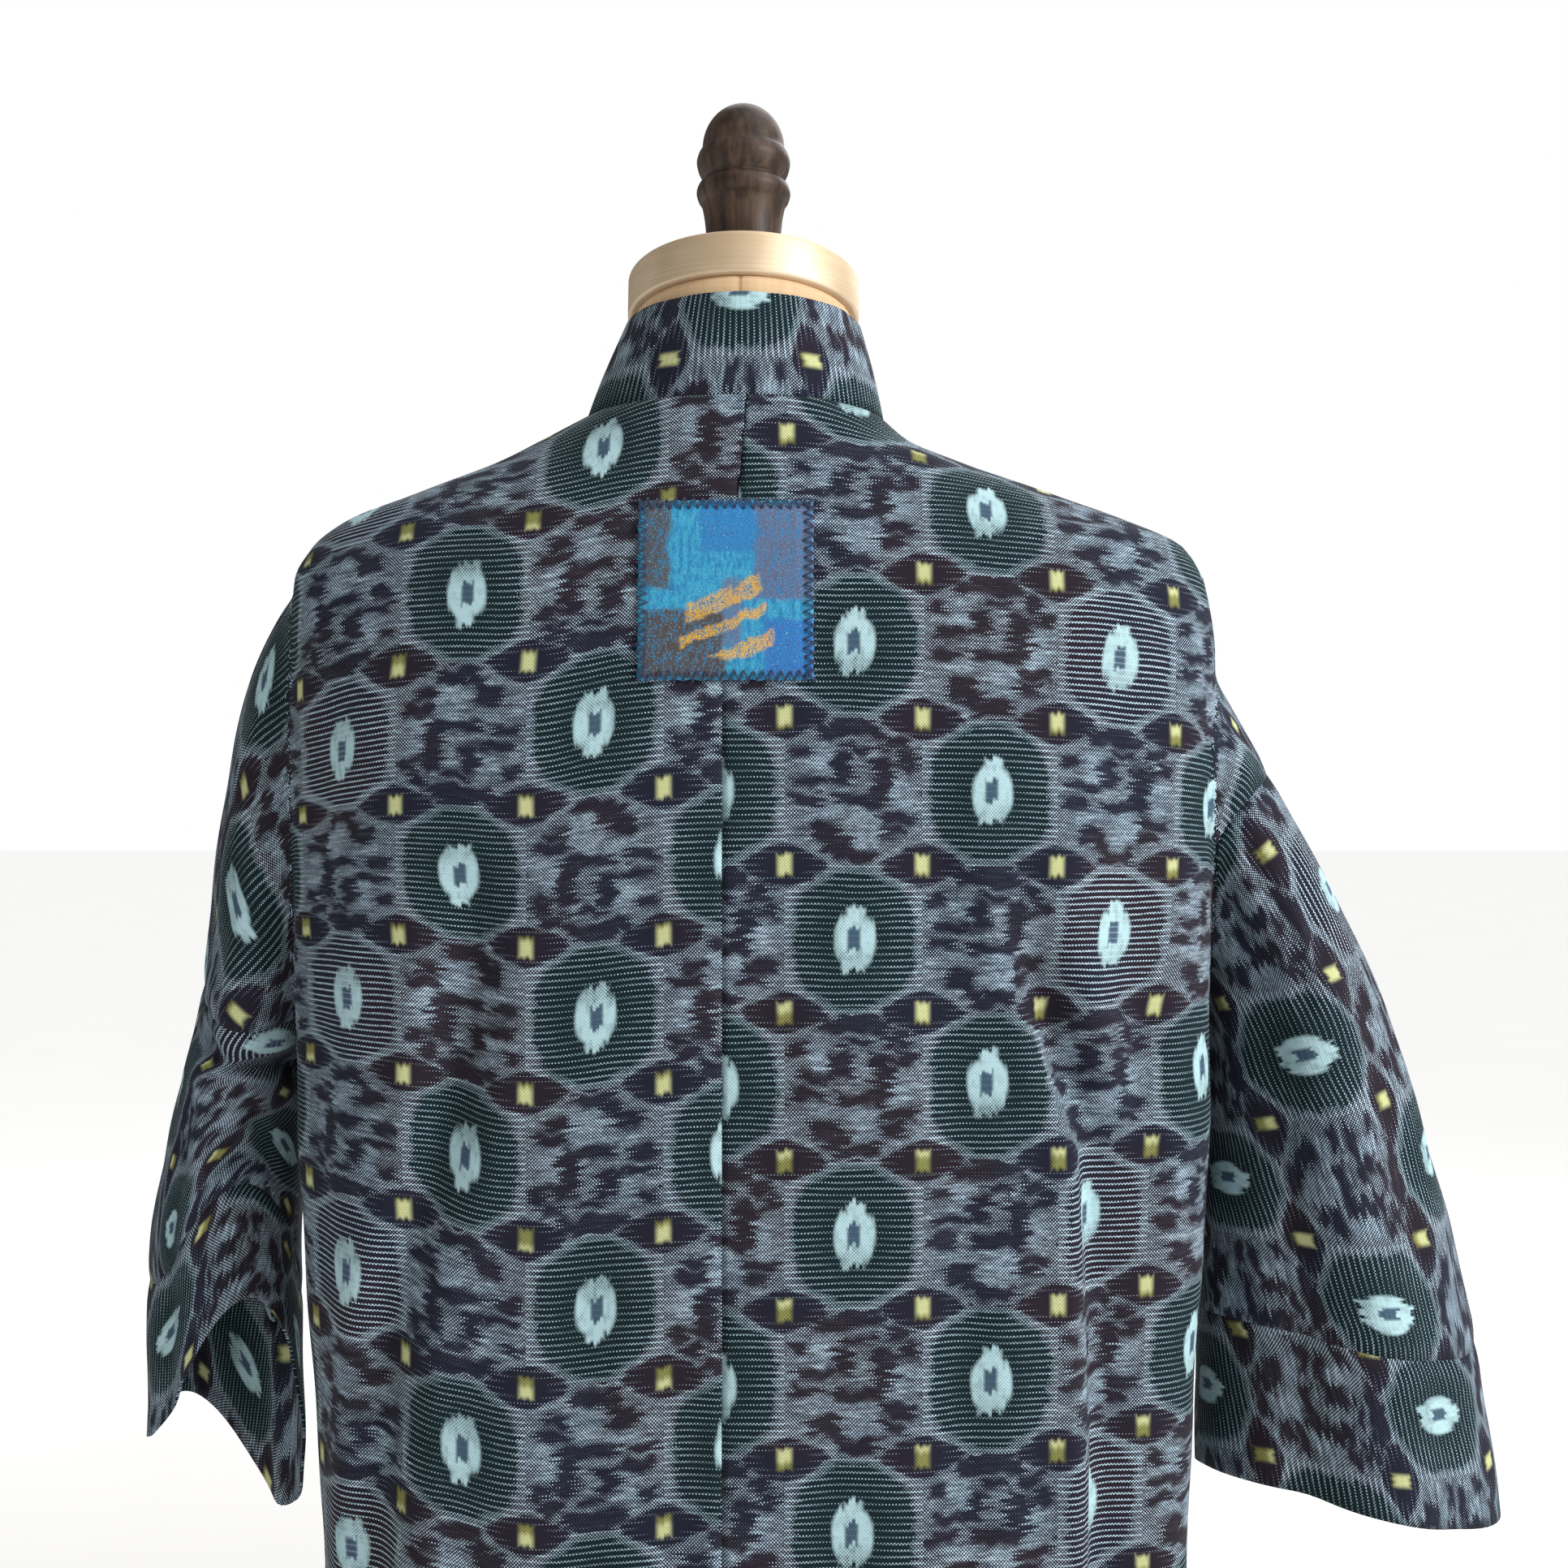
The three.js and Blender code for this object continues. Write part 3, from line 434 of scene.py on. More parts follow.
def body_lay(plain, folded):
    """Weft and warp distances in the body's cloth, on the back and then on the front half of its grid."""
    half = BODY_COLUMNS // 2
    closed = np.concatenate([folded, folded[:, :1]], axis=1)
    unfolded = np.concatenate([plain, plain[:, :1]], axis=1)
    lays = []
    for face, columns in ((1, slice(0, half + 1)), (-1, slice(half, BODY_COLUMNS + 1))):
        points, flat = closed[:, columns], unfolded[:, columns]
        x, z = flat[..., 0], flat[..., 2] - DATUM
        arcs = arc_lengths(points)
        seam = centre_seam(z[:, 0]) if face > 0 else np.zeros(len(z))
        order = slice(None, None, -1) if face > 0 else slice(None)
        middle = np.array([np.interp(s, row[order], arc[order]) for s, row, arc in zip(seam, x, arcs)])
        weft = (middle[:, None] - arcs) * face
        start = np.argmin(np.abs(z[:, 0] - SHOULDER_START))
        above = z > SHOULDER_START
        level_weft = np.interp(x, x[start][order], weft[start][order])
        weft = np.where(above, level_weft, weft)
        rise = np.where(above, shoulder_arc(x, np.maximum(z, SHOULDER_START), face), z - SHOULDER_START)
        if face > 0:
            warp = SHOULDER_START + rise + droop(x, z)
        else:
            over = shoulder_arc(x, ridge_level(x), 1) + shoulder_arc(x, ridge_level(x), -1)
            warp = SHOULDER_START + over - rise + droop(x, ridge_level(x))
        lays.append(np.stack([weft, warp], axis=-1))
    return lays


def body_grid():
    low = np.linspace(HEM_LEVEL, SHOULDER_START, BODY_LEVELS, endpoint=False)
    high = SHOULDER_START + (COLLAR_LEVEL - SHOULDER_START) * np.linspace(0, 1, SHOULDER_LEVELS + 1)
    z = np.concatenate([low, high])[:, None]
    angle = 2 * np.pi * np.arange(BODY_COLUMNS)[None, :] / BODY_COLUMNS
    plain = body_surface(z + 0 * angle, angle + 0 * z)
    x, level = plain[..., 0], plain[..., 2] - DATUM
    back = body_fold_depth(BACK_FOLDS, x, level) + body_fold_depth(BACK_CREASES, x, level)
    front = body_fold_depth(FRONT_FOLDS, x, level) + body_fold_depth(FRONT_CREASES, x, level)
    depth = np.where(plain[..., 1] > 0, back, front) - ripple(x, level)
    folded = plain - outward_normals(plain) * depth[..., None]
    return folded, body_lay(plain, folded)


# ---- Sleeves ----

def sleeve_fold_depth(folds, row, angle):
    ring_pitch, degree_length = 45, 1.1
    place = np.stack([row * ring_pitch, angle * degree_length], axis=-1)
    depth = np.zeros(place.shape[:-1])
    for fold in folds:
        start = np.array([fold["from_ring"] * ring_pitch, fold["from_angle"] * degree_length])
        end = np.array([fold["to_ring"] * ring_pitch, fold["to_angle"] * degree_length])
        run = end - start
        share = np.clip((place - start) @ run / (run @ run), 0, 1)
        distance = np.linalg.norm(place - start - share[..., None] * run, axis=-1)
        depth += fold["depth"] * np.exp(-((distance / fold["width"]) ** 2))
    return depth


def sleeve_grid(sleeve, folds):
    """Rings of points of a sleeve, from inside the shoulder to its hem."""
    rings = sleeve["rings"]
    steps = (len(rings["number"]) - 1) * SLEEVE_STEPS
    row = np.linspace(0, rings["number"][-1], steps + 1)[:, None]
    angle = 2 * np.pi * np.arange(SLEEVE_COLUMNS)[None, :] / SLEEVE_COLUMNS
    at = {name: along(rings, "number", name, row) for name in RING[1:]}
    out, back = np.cos(angle), np.sin(angle)
    lift = at["rise"] * back + at["twist"] * np.sin(2 * angle)
    x = (at["outer_x"] + at["inner_x"]) / 2 + (at["outer_x"] - at["inner_x"]) / 2 * out
    y = at["middle"] + at["depth"] * back
    z = (at["outer_z"] + at["inner_z"]) / 2 + (at["outer_z"] - at["inner_z"]) / 2 * out + lift
    plain = np.stack([sleeve["side"] * x, y, DATUM + z], axis=-1)
    depth = sleeve_fold_depth(folds, row + 0 * angle, np.degrees(angle) + 0 * row)
    depth = depth - ripple(1.7 * y + 40, 1.3 * z - 90) * smooth((row - 1) / 2)
    for seam in (sleeve["seam"], sleeve["cuff"]):
        depth = depth + SEAM_SINK * np.exp(-(((row - seam) * SLEEVE_STEPS) ** 2))
    return plain - outward_normals(plain) * depth[..., None]


def sleeve_lay(points, side, lay):
    """Weft and warp distances: the weft runs down the arm, turned towards its outer edge."""
    half = SLEEVE_COLUMNS // 2
    centres = points.mean(axis=1)
    down = np.concatenate([[0], np.cumsum(np.linalg.norm(np.diff(centres, axis=0), axis=1))])[:, None]
    closed = np.concatenate([points, points[:, :1]], axis=1)
    arcs = arc_lengths(closed)
    turn = math.radians(lay["turn"])
    lays = []
    for face, around in ((1, arcs[:, :half + 1]), (-1, (arcs[:, -1:] - arcs)[:, half:])):
        spread = smooth(around / TURN_SPREAD)
        weft = down * math.cos(turn) - around * math.sin(turn) * spread
        warp = around * math.cos(turn) + down * math.sin(turn) * spread
        lays.append(np.stack([lay["u"] + side * weft, lay["v"] - face * warp], axis=-1))
    return lays


# ---- Meshes ----

def new_mesh(name, points, faces, cloth=None):
    """Mesh of points in millimetres. cloth holds the weft and warp distance of each face's corners."""
    mesh = bpy.data.meshes.new(name)
    mesh.from_pydata((np.asarray(points).reshape(-1, 3) * MM).tolist(), [], faces)
    if cloth is not None:
        layer = mesh.uv_layers.new(name="cloth").data
        layer.foreach_set("uv", np.array(cloth, dtype=np.float32).ravel())
    return mesh


def face_outward(mesh):
    work = bmesh.new()
    work.from_mesh(mesh)
    bmesh.ops.recalc_face_normals(work, faces=work.faces)
    work.to_mesh(mesh)
    work.free()


def grid_mesh(name, points, lays, kinds, capped):
    """Mesh of rings. lays holds the cloth distances of its back and front halves."""
    rows, columns = points.shape[:2]
    half = columns // 2
    i, j = np.meshgrid(np.arange(rows - 1), np.arange(columns), indexing="ij")
    following = (j + 1) % columns
    faces = np.stack([i * columns + j, i * columns + following,
                      (i + 1) * columns + following, (i + 1) * columns + j], axis=-1).reshape(-1, 4)
    corners = []
    for di, dj in ((0, 0), (0, 1), (1, 1), (1, 0)):
        back = lays[0][i + di, np.minimum(j + dj, half)]
        front = lays[1][i + di, np.clip(j + dj - half, 0, half)]
        corners.append(np.where((j < half)[..., None], back, front))
    cloth = np.stack(corners, axis=2).reshape(-1, 2)
    vertices = points.reshape(-1, 3)
    face_list = faces.tolist()
    kind_list = np.repeat(kinds, columns).tolist()
    if capped:
        for row in (0, rows - 1):
            ring = [row * columns + k for k in range(columns)]
            middle = len(vertices)
            vertices = np.vstack([vertices, points[row].mean(axis=0)])
            face_list += [[ring[k], ring[(k + 1) % columns], middle] for k in range(columns)]
        kind_list += [CUT_FACE] * (2 * columns)
        cloth = np.vstack([cloth, np.zeros((6 * columns, 2))])
    mesh = new_mesh(name, vertices, face_list, cloth)
    mesh.polygons.foreach_set("material_index", np.array(kind_list, dtype=np.int32))
    face_outward(mesh)
    return mesh


def add_object(name, mesh):
    piece = bpy.data.objects.new(name, mesh)
    bpy.context.scene.collection.objects.link(piece)
    return piece


def joined(body, tubes):
    """The union of closed meshes, with each face's kind kept."""
    kinds = [bpy.data.materials.new("kind") for _ in KINDS]
    objects = [add_object("work", mesh) for mesh in (body, *tubes)]
    for mesh in (body, *tubes):
        for kind in kinds:
            mesh.materials.append(kind)
    for tube in objects[1:]:
        union = objects[0].modifiers.new("union", "BOOLEAN")
        union.operation = "UNION"
        union.solver = "EXACT"
        union.object = tube
    evaluated = objects[0].evaluated_get(bpy.context.evaluated_depsgraph_get())
    mesh = bpy.data.meshes.new_from_object(evaluated)
    for item in objects:
        bpy.data.objects.remove(item)
    for kind in kinds:
        bpy.data.materials.remove(kind)
    return mesh


def round_the_valleys(work):
    """Soften the surface where the sleeves leave the body."""
    work.verts.ensure_lookup_table()
    points = np.array([vertex.co[:] for vertex in work.verts]) / MM
    crossing = []
    for vertex in work.verts:
        kinds = {face.material_index == BODY_FACE for face in vertex.link_faces}
        if len(kinds) == 2:
            crossing.append(vertex.index)
    near = np.full(len(points), np.inf)
    for place in points[crossing]:
        near = np.minimum(near, np.linalg.norm(points - place, axis=1))
    edges = np.array([[vertex.index for vertex in edge.verts] for edge in work.edges])
    weight = np.maximum(0, 1 - (near / VALLEY) ** 2) ** 2
    moving = weight > 0
    edges = edges[moving[edges].any(axis=1)]
    count = np.bincount(edges.ravel(), minlength=len(points))
    for _ in range(VALLEY_PASSES):
        total = np.zeros_like(points)
        np.add.at(total, edges[:, 0], points[edges[:, 1]])
        np.add.at(total, edges[:, 1], points[edges[:, 0]])
        mean = total / np.maximum(count, 1)[:, None]
        moved = points + VALLEY_SHARE * weight[:, None] * (mean - points)
        points = np.where(moving[:, None], moved, points)
    for vertex in work.verts:
        if moving[vertex.index]:
            vertex.co = points[vertex.index] * MM


def body_faces(work, side):
    """The body's own faces on its back (+1) or its front (-1)."""
    body = [face for face in work.faces if face.material_index == BODY_FACE]
    return [face for face in body if side * face.calc_center_median().y > 0]


def cut_along(work, faces, line):
    """Cut faces where they cross a line, given as the x of each level."""
    vertices = {vertex for face in faces for vertex in face.verts}
    levels = np.array([vertex.co.z / MM - DATUM for vertex in vertices])
    for vertex, shift in zip(vertices, line(levels)):
        vertex.co.x -= shift * MM
    edges = {edge for face in faces for edge in face.edges}
    geometry = list(vertices) + list(edges) + list(faces)
    result = bmesh.ops.bisect_plane(work, geom=geometry, dist=1e-6, plane_co=(0, 0, 0), plane_no=(1, 0, 0))
    touched = vertices | {item for item in result["geom_cut"] if isinstance(item, bmesh.types.BMVert)}
    touched = [vertex for vertex in touched if vertex.is_valid]
    levels = np.array([vertex.co.z / MM - DATUM for vertex in touched])
    for vertex, shift in zip(touched, line(levels)):
        vertex.co.x += shift * MM
    return [item for item in result["geom_cut"] if isinstance(item, bmesh.types.BMVert)]


def piece_from(work, keep, name):
    """A mesh of the faces for which keep(face) is true."""
    copy = work.copy()
    drop = [face for face in copy.faces if not keep(face)]
    bmesh.ops.delete(copy, geom=drop, context="FACES")
    mesh = bpy.data.meshes.new(name)
    copy.to_mesh(mesh)
    copy.free()
    mesh.materials.clear()
    mesh.polygons.foreach_set("material_index", np.zeros(len(mesh.polygons), dtype=np.int32))
    return mesh


def place_pattern(mesh, lay):
    """Lay a body length's pattern from the centre back outwards."""
    layer = mesh.uv_layers["cloth"].data
    cloth = np.empty(len(layer) * 2, dtype=np.float32)
    layer.foreach_get("uv", cloth)
    cloth = cloth.reshape(-1, 2) * (lay["mirror"], lay["turned"]) + (lay["u"], lay["v"])
    layer.foreach_set("uv", cloth.ravel().astype(np.float32))


def front_edge(column):
    sign = 1 if column == "left" else -1
    return lambda z: sign * along(FRONT_EDGE, "z", column, z)


def make_trunk():
    """Both lengths of the body and both sleeves, cut from one surface."""
    points, lays = body_grid()
    kinds = np.full(len(points) - 1, BODY_FACE)
    body = grid_mesh("body", points, lays, kinds, True)
    tubes, cuffs = [], {}
    plans = (
        ("left", LEFT_SLEEVE, LEFT_SLEEVE_FOLDS, LEFT_STUB_LAY, LEFT_SLEEVE_LAY, LEFT_CUFF_LAY),
        ("right", RIGHT_SLEEVE, RIGHT_SLEEVE_FOLDS, RIGHT_STUB_LAY, RIGHT_SLEEVE_LAY, RIGHT_CUFF_LAY),
    )
    for name, sleeve, folds, stub_lay, lay, cuff_lay in plans:
        rings = sleeve_grid(sleeve, folds)
        seam, cuff = sleeve["seam"] * SLEEVE_STEPS, sleeve["cuff"] * SLEEVE_STEPS
        tube = rings[:cuff + 1]
        stub = sleeve_lay(tube, sleeve["side"], stub_lay)
        lower = sleeve_lay(tube, 1, lay)
        rows = (np.arange(cuff + 1) > seam)[:, None, None]
        lays = [np.where(rows, a, b) for a, b in zip(lower, stub)]
        kinds = np.where(np.arange(cuff) < seam, STUB_FACE, SLEEVE_FACE)
        tubes.append(grid_mesh(f"tube_{name}", tube, lays, kinds, True))
        fix_seam_row(tubes[-1], seam, lower)
        low = rings[cuff:]
        cuff_kinds = np.zeros(len(low) - 1, dtype=int)
        cuffs[name] = grid_mesh(f"cuff_{name}", low, sleeve_lay(low, 1, cuff_lay), cuff_kinds, False)
    work = bmesh.new()
    work.from_mesh(joined(body, tubes))
    ends = [face for face in work.faces if face.material_index == CUT_FACE]
    bmesh.ops.delete(work, geom=ends, context="FACES")
    round_the_valleys(work)
    for column in ("left", "right"):
        cut_along(work, body_faces(work, -1), front_edge(column))
    between = []
    for face in work.faces:
        centre = face.calc_center_median() / MM
        level = centre.z - DATUM
        inside = front_edge("right")(level) < centre.x < front_edge("left")(level)
        if centre.y < 0 and inside:
            between.append(face)
    bmesh.ops.delete(work, geom=between, context="FACES")
    for vertex in cut_along(work, body_faces(work, 1), centre_seam):
        vertex.co.y -= SEAM_SINK * MM
    return work, cuffs


def fix_seam_row(mesh, seam, lower):
    """Give the first row of faces under a sleeve's seam the sleeve's own cloth at both its rings."""
    layer = mesh.uv_layers["cloth"].data
    half = SLEEVE_COLUMNS // 2
    for column in range(SLEEVE_COLUMNS):
        polygon = mesh.polygons[seam * SLEEVE_COLUMNS + column]
        lay = lower[0] if column < half else lower[1]
        first = column if column < half else column - half
        for loop in polygon.loop_indices:
            row, at = divmod(mesh.loops[loop].vertex_index, SLEEVE_COLUMNS)
            offset = 0 if at == column else 1
            layer[loop].uv = lay[row, first + offset]


def beside_seam(side):
    def keep(face):
        centre = face.calc_center_median() / MM
        beyond = side * (centre.x - centre_seam(centre.z - DATUM)) > 0
        return face.material_index in (BODY_FACE, STUB_FACE) and beyond
    return keep


def sleeve_side(side):
    def keep(face):
        return face.material_index == SLEEVE_FACE and side * face.calc_center_median().x > 0
    return keep


def thicken(piece, thickness):
    solidify = piece.modifiers.new("wall", "SOLIDIFY")
    solidify.thickness = thickness * MM
    solidify.offset = -1
    solidify.use_even_offset = False
    piece.data.shade_smooth()
    return piece


# ---- Neckband ----

def front_levels():
    drop = COLLAR_LEVEL - HEM_LEVEL
    share = np.arange(BAND_FRONT_STEPS) / BAND_FRONT_STEPS
    return COLLAR_LEVEL - drop * (1 - share) ** 1.9


def band_stations():
    """The band's seam and free edge, from the left hem round the neck to the right hem."""
    seams, frees = [], []
    levels = front_levels()
    for side, column in ((1, "left"), (-1, "right")):
        edge = along(FRONT_EDGE, "z", column, levels) - SEAM_GAP
        seam = np.stack([side * edge, body_face(side * edge, levels, -1), DATUM + levels], axis=-1)
        free = np.stack([side * along(BAND_EDGE, "z", "x", levels), along(BAND_EDGE, "z", "y", levels),
                         DATUM + along(BAND_EDGE, "z", "free", levels)], axis=-1)
        seams.append(seam if side > 0 else seam[::-1])
        frees.append(free if side > 0 else free[::-1])
    angle = np.pi * np.arange(BAND_BACK_STEPS + 1) / BAND_BACK_STEPS
    out, back = np.cos(angle), np.sin(angle)
    half = np.where(out > 0, BODY["left"][-1], BODY["right"][-1]) - 2 * SEAM_GAP
    seam = np.stack([half * out, BODY["back"][-1] * back, DATUM + COLLAR_LEVEL + SEAM_GAP + 0 * out], axis=-1)
    top = BAND_EDGE["free"][-1] + (BAND_BACK_TOP - BAND_EDGE["free"][-1]) * back
    free = np.stack([BAND_BACK_RADIUS * out, 2 + BAND_BACK_RADIUS * back, DATUM + top], axis=-1)
    return np.concatenate([seams[0], seam, seams[1]]), np.concatenate([frees[0], free, frees[1]])


def neckband_mesh():
    """The band's closed section: outer face, folded free edge, inner face and seam edge."""
    seams, frees = band_stations()
    count = len(seams)
    before, after = np.maximum(np.arange(count) - 1, 0), np.minimum(np.arange(count) + 1, count - 1)
    run = seams[after] + frees[after] - seams[before] - frees[before]
    across = frees - seams
    inward = np.cross(across, run)
    inward[:, 2] = 0
    inward /= np.linalg.norm(inward, axis=1, keepdims=True)
    length = np.linalg.norm(across, axis=1)
    rim = BAND_THICKNESS / 2
    middle = (seams + frees) / 2
    distance = np.concatenate([[0], np.cumsum(np.linalg.norm(np.diff(middle, axis=0), axis=1))])
    distance -= distance[count // 2]
    section, weft = [], []
    for step in range(BAND_ACROSS + 1):
        share = step / BAND_ACROSS
        wave = 0.35 * np.sin(distance * 0.11 + 2.1 * share) + 0.25 * np.sin(distance * 0.23 + 1)
        bulge = 0.9 * math.sin(math.pi * share)
        place = seams + across * (share * (1 - rim / length))[:, None]
        section.append(place - inward * (bulge + wave * share)[:, None])
        weft.append(length * (1 - share))
    for degrees in (45, 90, 135):
        angle = math.radians(degrees)
        place = section[BAND_ACROSS] + inward * (rim * (1 - math.cos(angle)))
        section.append(place + across / length[:, None] * rim * math.sin(angle))
        weft.append(0 * length - rim * angle)
    for step in range(BAND_ACROSS, -1, -1):
        section.append(section[step] + inward * BAND_THICKNESS)
        weft.append(-length * (1 - step / BAND_ACROSS) - rim * math.pi)
    points = np.stack(section, axis=1)
    rows, columns = points.shape[:2]
    weft = np.stack(weft, axis=1)
    faces, cloth = [], []
    for row in range(rows - 1):
        for column in range(columns):
            following = (column + 1) % columns
            corners = ((row, column), (row, following), (row + 1, following), (row + 1, column))
            faces.append([r * columns + c for r, c in corners])
            cloth += [(weft[r, c], distance[r] + REPEAT_V / 2) for r, c in corners]
    for row in (0, rows - 1):
        faces.append([row * columns + column for column in range(columns)])
        cloth += [(weft[row, column], distance[row]) for column in range(columns)]
    mesh = new_mesh("neckband", points, faces, cloth)
    face_outward(mesh)
    mesh.shade_smooth()
    return mesh


# ---- Patch and its stitches ----

def on_back(x, z, out):
    """Points over the back of the jacket, moved out from it."""
    step = 0.5
    y = folded_back(x, z)
    slope_x = (folded_back(x + step, z) - folded_back(x - step, z)) / (2 * step)
    slope_z = (folded_back(x, z + step) - folded_back(x, z - step)) / (2 * step)
    normal = np.stack([-slope_x, np.ones_like(y), -slope_z], axis=-1)
    normal /= np.linalg.norm(normal, axis=-1, keepdims=True)
    return np.stack([x, y, DATUM + z], axis=-1) + normal * np.asarray(out)[..., None]


def patch_mesh():
    """A raw-cut square, thin at its edges where the stitches hold it down."""
    columns, rows = 60, 62
    share_x, share_z = np.meshgrid(np.linspace(0, 1, columns + 1), np.linspace(0, 1, rows + 1))
    fray = 0.35 * np.sin(share_z * 61) * np.sin(share_z * 23 + 1)
    width, height = PATCH["left"] - PATCH["right"], PATCH["top"] - PATCH["bottom"]
    x = PATCH["right"] + width * share_x + fray * np.sign(share_x - 0.5) * (np.abs(share_x - 0.5) > 0.49)
    z = PATCH["bottom"] + height * share_z + 0.3 * np.sin(share_x * 57) * (np.abs(share_z - 0.5) > 0.49)
    edge = np.minimum(np.minimum(share_x, 1 - share_x) * width, np.minimum(share_z, 1 - share_z) * height)
    pucker = 0.25 * np.sin(share_x * 75) * np.exp(-edge / 5) + 0.25 * np.sin(share_z * 71) * np.exp(-edge / 5)
    lift = PATCH_GAP + PATCH_THICKNESS + 0.5 * smooth(edge / 9) + pucker * smooth(edge / 2)
    points = on_back(x, z, lift)
    faces = []
    for row in range(rows):
        for column in range(columns):
            first = row * (columns + 1) + column
            faces.append([first + 1, first, first + columns + 1, first + columns + 2])
    flat = np.stack([share_x * width, share_z * height], axis=-1).reshape(-1, 2)
    return new_mesh("patch", points, faces, flat[np.ravel(faces)])


def tube_mesh(name, paths, radius, sides=6):
    """Round thread along each open path of points."""
    vertices, faces = [], []
    for path in paths:
        path = np.asarray(path, float)
        run = np.gradient(path, axis=0)
        run /= np.linalg.norm(run, axis=1, keepdims=True)
        side = np.cross(run, (0, 0, 1.0)) + 1e-6
        side /= np.linalg.norm(side, axis=1, keepdims=True)
        over = np.cross(side, run)
        first = len(vertices)
        for place, a, b in zip(path, side, over):
            for k in range(sides):
                angle = 2 * math.pi * k / sides
                vertices.append(place + radius * (a * math.cos(angle) + b * math.sin(angle)))
        for row in range(len(path) - 1):
            for k in range(sides):
                a = first + row * sides + k
                b = first + row * sides + (k + 1) % sides
                faces.append([a, b, b + sides, a + sides])
        faces.append([first + k for k in range(sides)][::-1])
        faces.append([first + (len(path) - 1) * sides + k for k in range(sides)])
    mesh = new_mesh(name, vertices, faces)
    face_outward(mesh)
    mesh.shade_smooth()
    return mesh


def zigzag_paths():
    """Machine zigzag over the patch's four edges, each stitch an arched thread."""
    pitch, reach_in, reach_out = 4.1, 4.2, 0.9
    left, right = PATCH["left"], PATCH["right"]
    bottom, top = PATCH["bottom"], PATCH["top"]
    edges = (
        ((right, bottom), (left, bottom), (0, 1)),
        ((left, bottom), (left, top), (-1, 0)),
        ((left, top), (right, top), (0, -1)),
        ((right, top), (right, bottom), (1, 0)),
    )
    paths = []
    for start, end, inner in edges:
        length = math.dist(start, end)
        count = round(length / pitch)
        run = ((end[0] - start[0]) / length, (end[1] - start[1]) / length)
        corners = []
        for step in range(2 * count + 1):
            at = length * step / (2 * count)
            reach = reach_in if step % 2 else -reach_out
            wander = 0.35 * math.sin(2.3 * step)
            corners.append((start[0] + run[0] * (at + wander * 0.5) + inner[0] * (reach + wander),
                            start[1] + run[1] * (at + wander * 0.5) + inner[1] * (reach + wander)))
        for first, second in zip(corners, corners[1:]):
            share = np.linspace(0, 1, 6)
            x = first[0] + (second[0] - first[0]) * share
            z = first[1] + (second[1] - first[1]) * share
            height = 1.55 + 0.75 * np.sin(np.pi * share) ** 0.7
            paths.append(on_back(x, z, height))
    return paths


# ---- Dress form ----

def form_mesh():
    """Padded torso and neck, with the covering's seams as fine grooves."""
    columns = 144
    angle = 2 * np.pi * np.arange(columns)[None, :] / columns
    z = np.concatenate([np.linspace(FORM["z"][0], -652, 5)[:-1], np.linspace(-652, 100, 110)[:-1],
                        np.linspace(100, FORM["z"][-1], 60)])[:, None]
    across, back = np.cos(angle), np.sin(angle)
    power = np.where(z > SHOULDER_START, 2, FORM_SQUARENESS)
    reach = (np.abs(across) ** power + np.abs(back) ** power) ** (-1 / power)
    depth = np.where(back > 0, along(FORM, "z", "back", z), along(FORM, "z", "front", z))
    lean = smooth((z - NECK_FOOT) / (FORM["z"][-1] - NECK_FOOT))
    x = across * reach * along(FORM, "z", "half", z)
    y = back * reach * depth
    points = np.stack([x, y, DATUM + z + lean * y * math.tan(CAP_TILT)], axis=-1)
    seam = np.exp(-((x / 1.6) ** 2))
    points = points - outward_normals(points) * (0.7 * seam)[..., None]
    plain = [np.zeros((len(points), columns // 2 + 1, 2))] * 2
    mesh = grid_mesh("form", points, plain, np.zeros(len(points) - 1, dtype=int), True)
    mesh.polygons.foreach_set("material_index", np.zeros(len(mesh.polygons), dtype=np.int32))
    mesh.shade_smooth()
    return mesh


def turned(name, profile, columns=128):
    """Surface of revolution about +Z through [radius, height] pairs from axis to axis."""
    inner = profile[1:-1]
    angles = 2 * np.pi * np.arange(columns) / columns
    vertices = [(r * math.cos(a), r * math.sin(a), h) for r, h in inner for a in angles]
    faces = []
    for row in range(len(inner) - 1):
        for k in range(columns):
            a, b = row * columns + k, row * columns + (k + 1) % columns
            faces.append([a, b, b + columns, a + columns])
    last = (len(inner) - 1) * columns
    vertices += [(0, 0, profile[0][1]), (0, 0, profile[-1][1])]
    foot, head = len(vertices) - 2, len(vertices) - 1
    for k in range(columns):
        faces.append([foot, (k + 1) % columns, k])
        faces.append([head, last + k, last + (k + 1) % columns])
    mesh = new_mesh(name, vertices, faces)
    mesh.shade_smooth()
    return mesh


def rounded_corner(radius, height, rounding, turn_from, turn_to):
    """Points of a profile's rounded corner, its centre inside, from one angle to another."""
    angles = np.radians(np.linspace(turn_from, turn_to, 9))
    return [(radius - rounding + rounding * math.cos(a), height + rounding * math.sin(a)) for a in angles]


def cap_mesh():
    low = rounded_corner(CAP_RADIUS, CAP_ROUNDING, CAP_ROUNDING, -90, 0)
    high = rounded_corner(CAP_RADIUS, CAP_HEIGHT - CAP_ROUNDING, CAP_ROUNDING, 0, 90)
    core = CAP_RADIUS - CAP_ROUNDING
    top = [(core - 3, CAP_HEIGHT), (core - 14, CAP_HEIGHT), (20, CAP_HEIGHT)]
    return turned("cap", [(0, 0), (20, 0), (core - 3, 0), *low, *high, *top, (0, CAP_HEIGHT)])


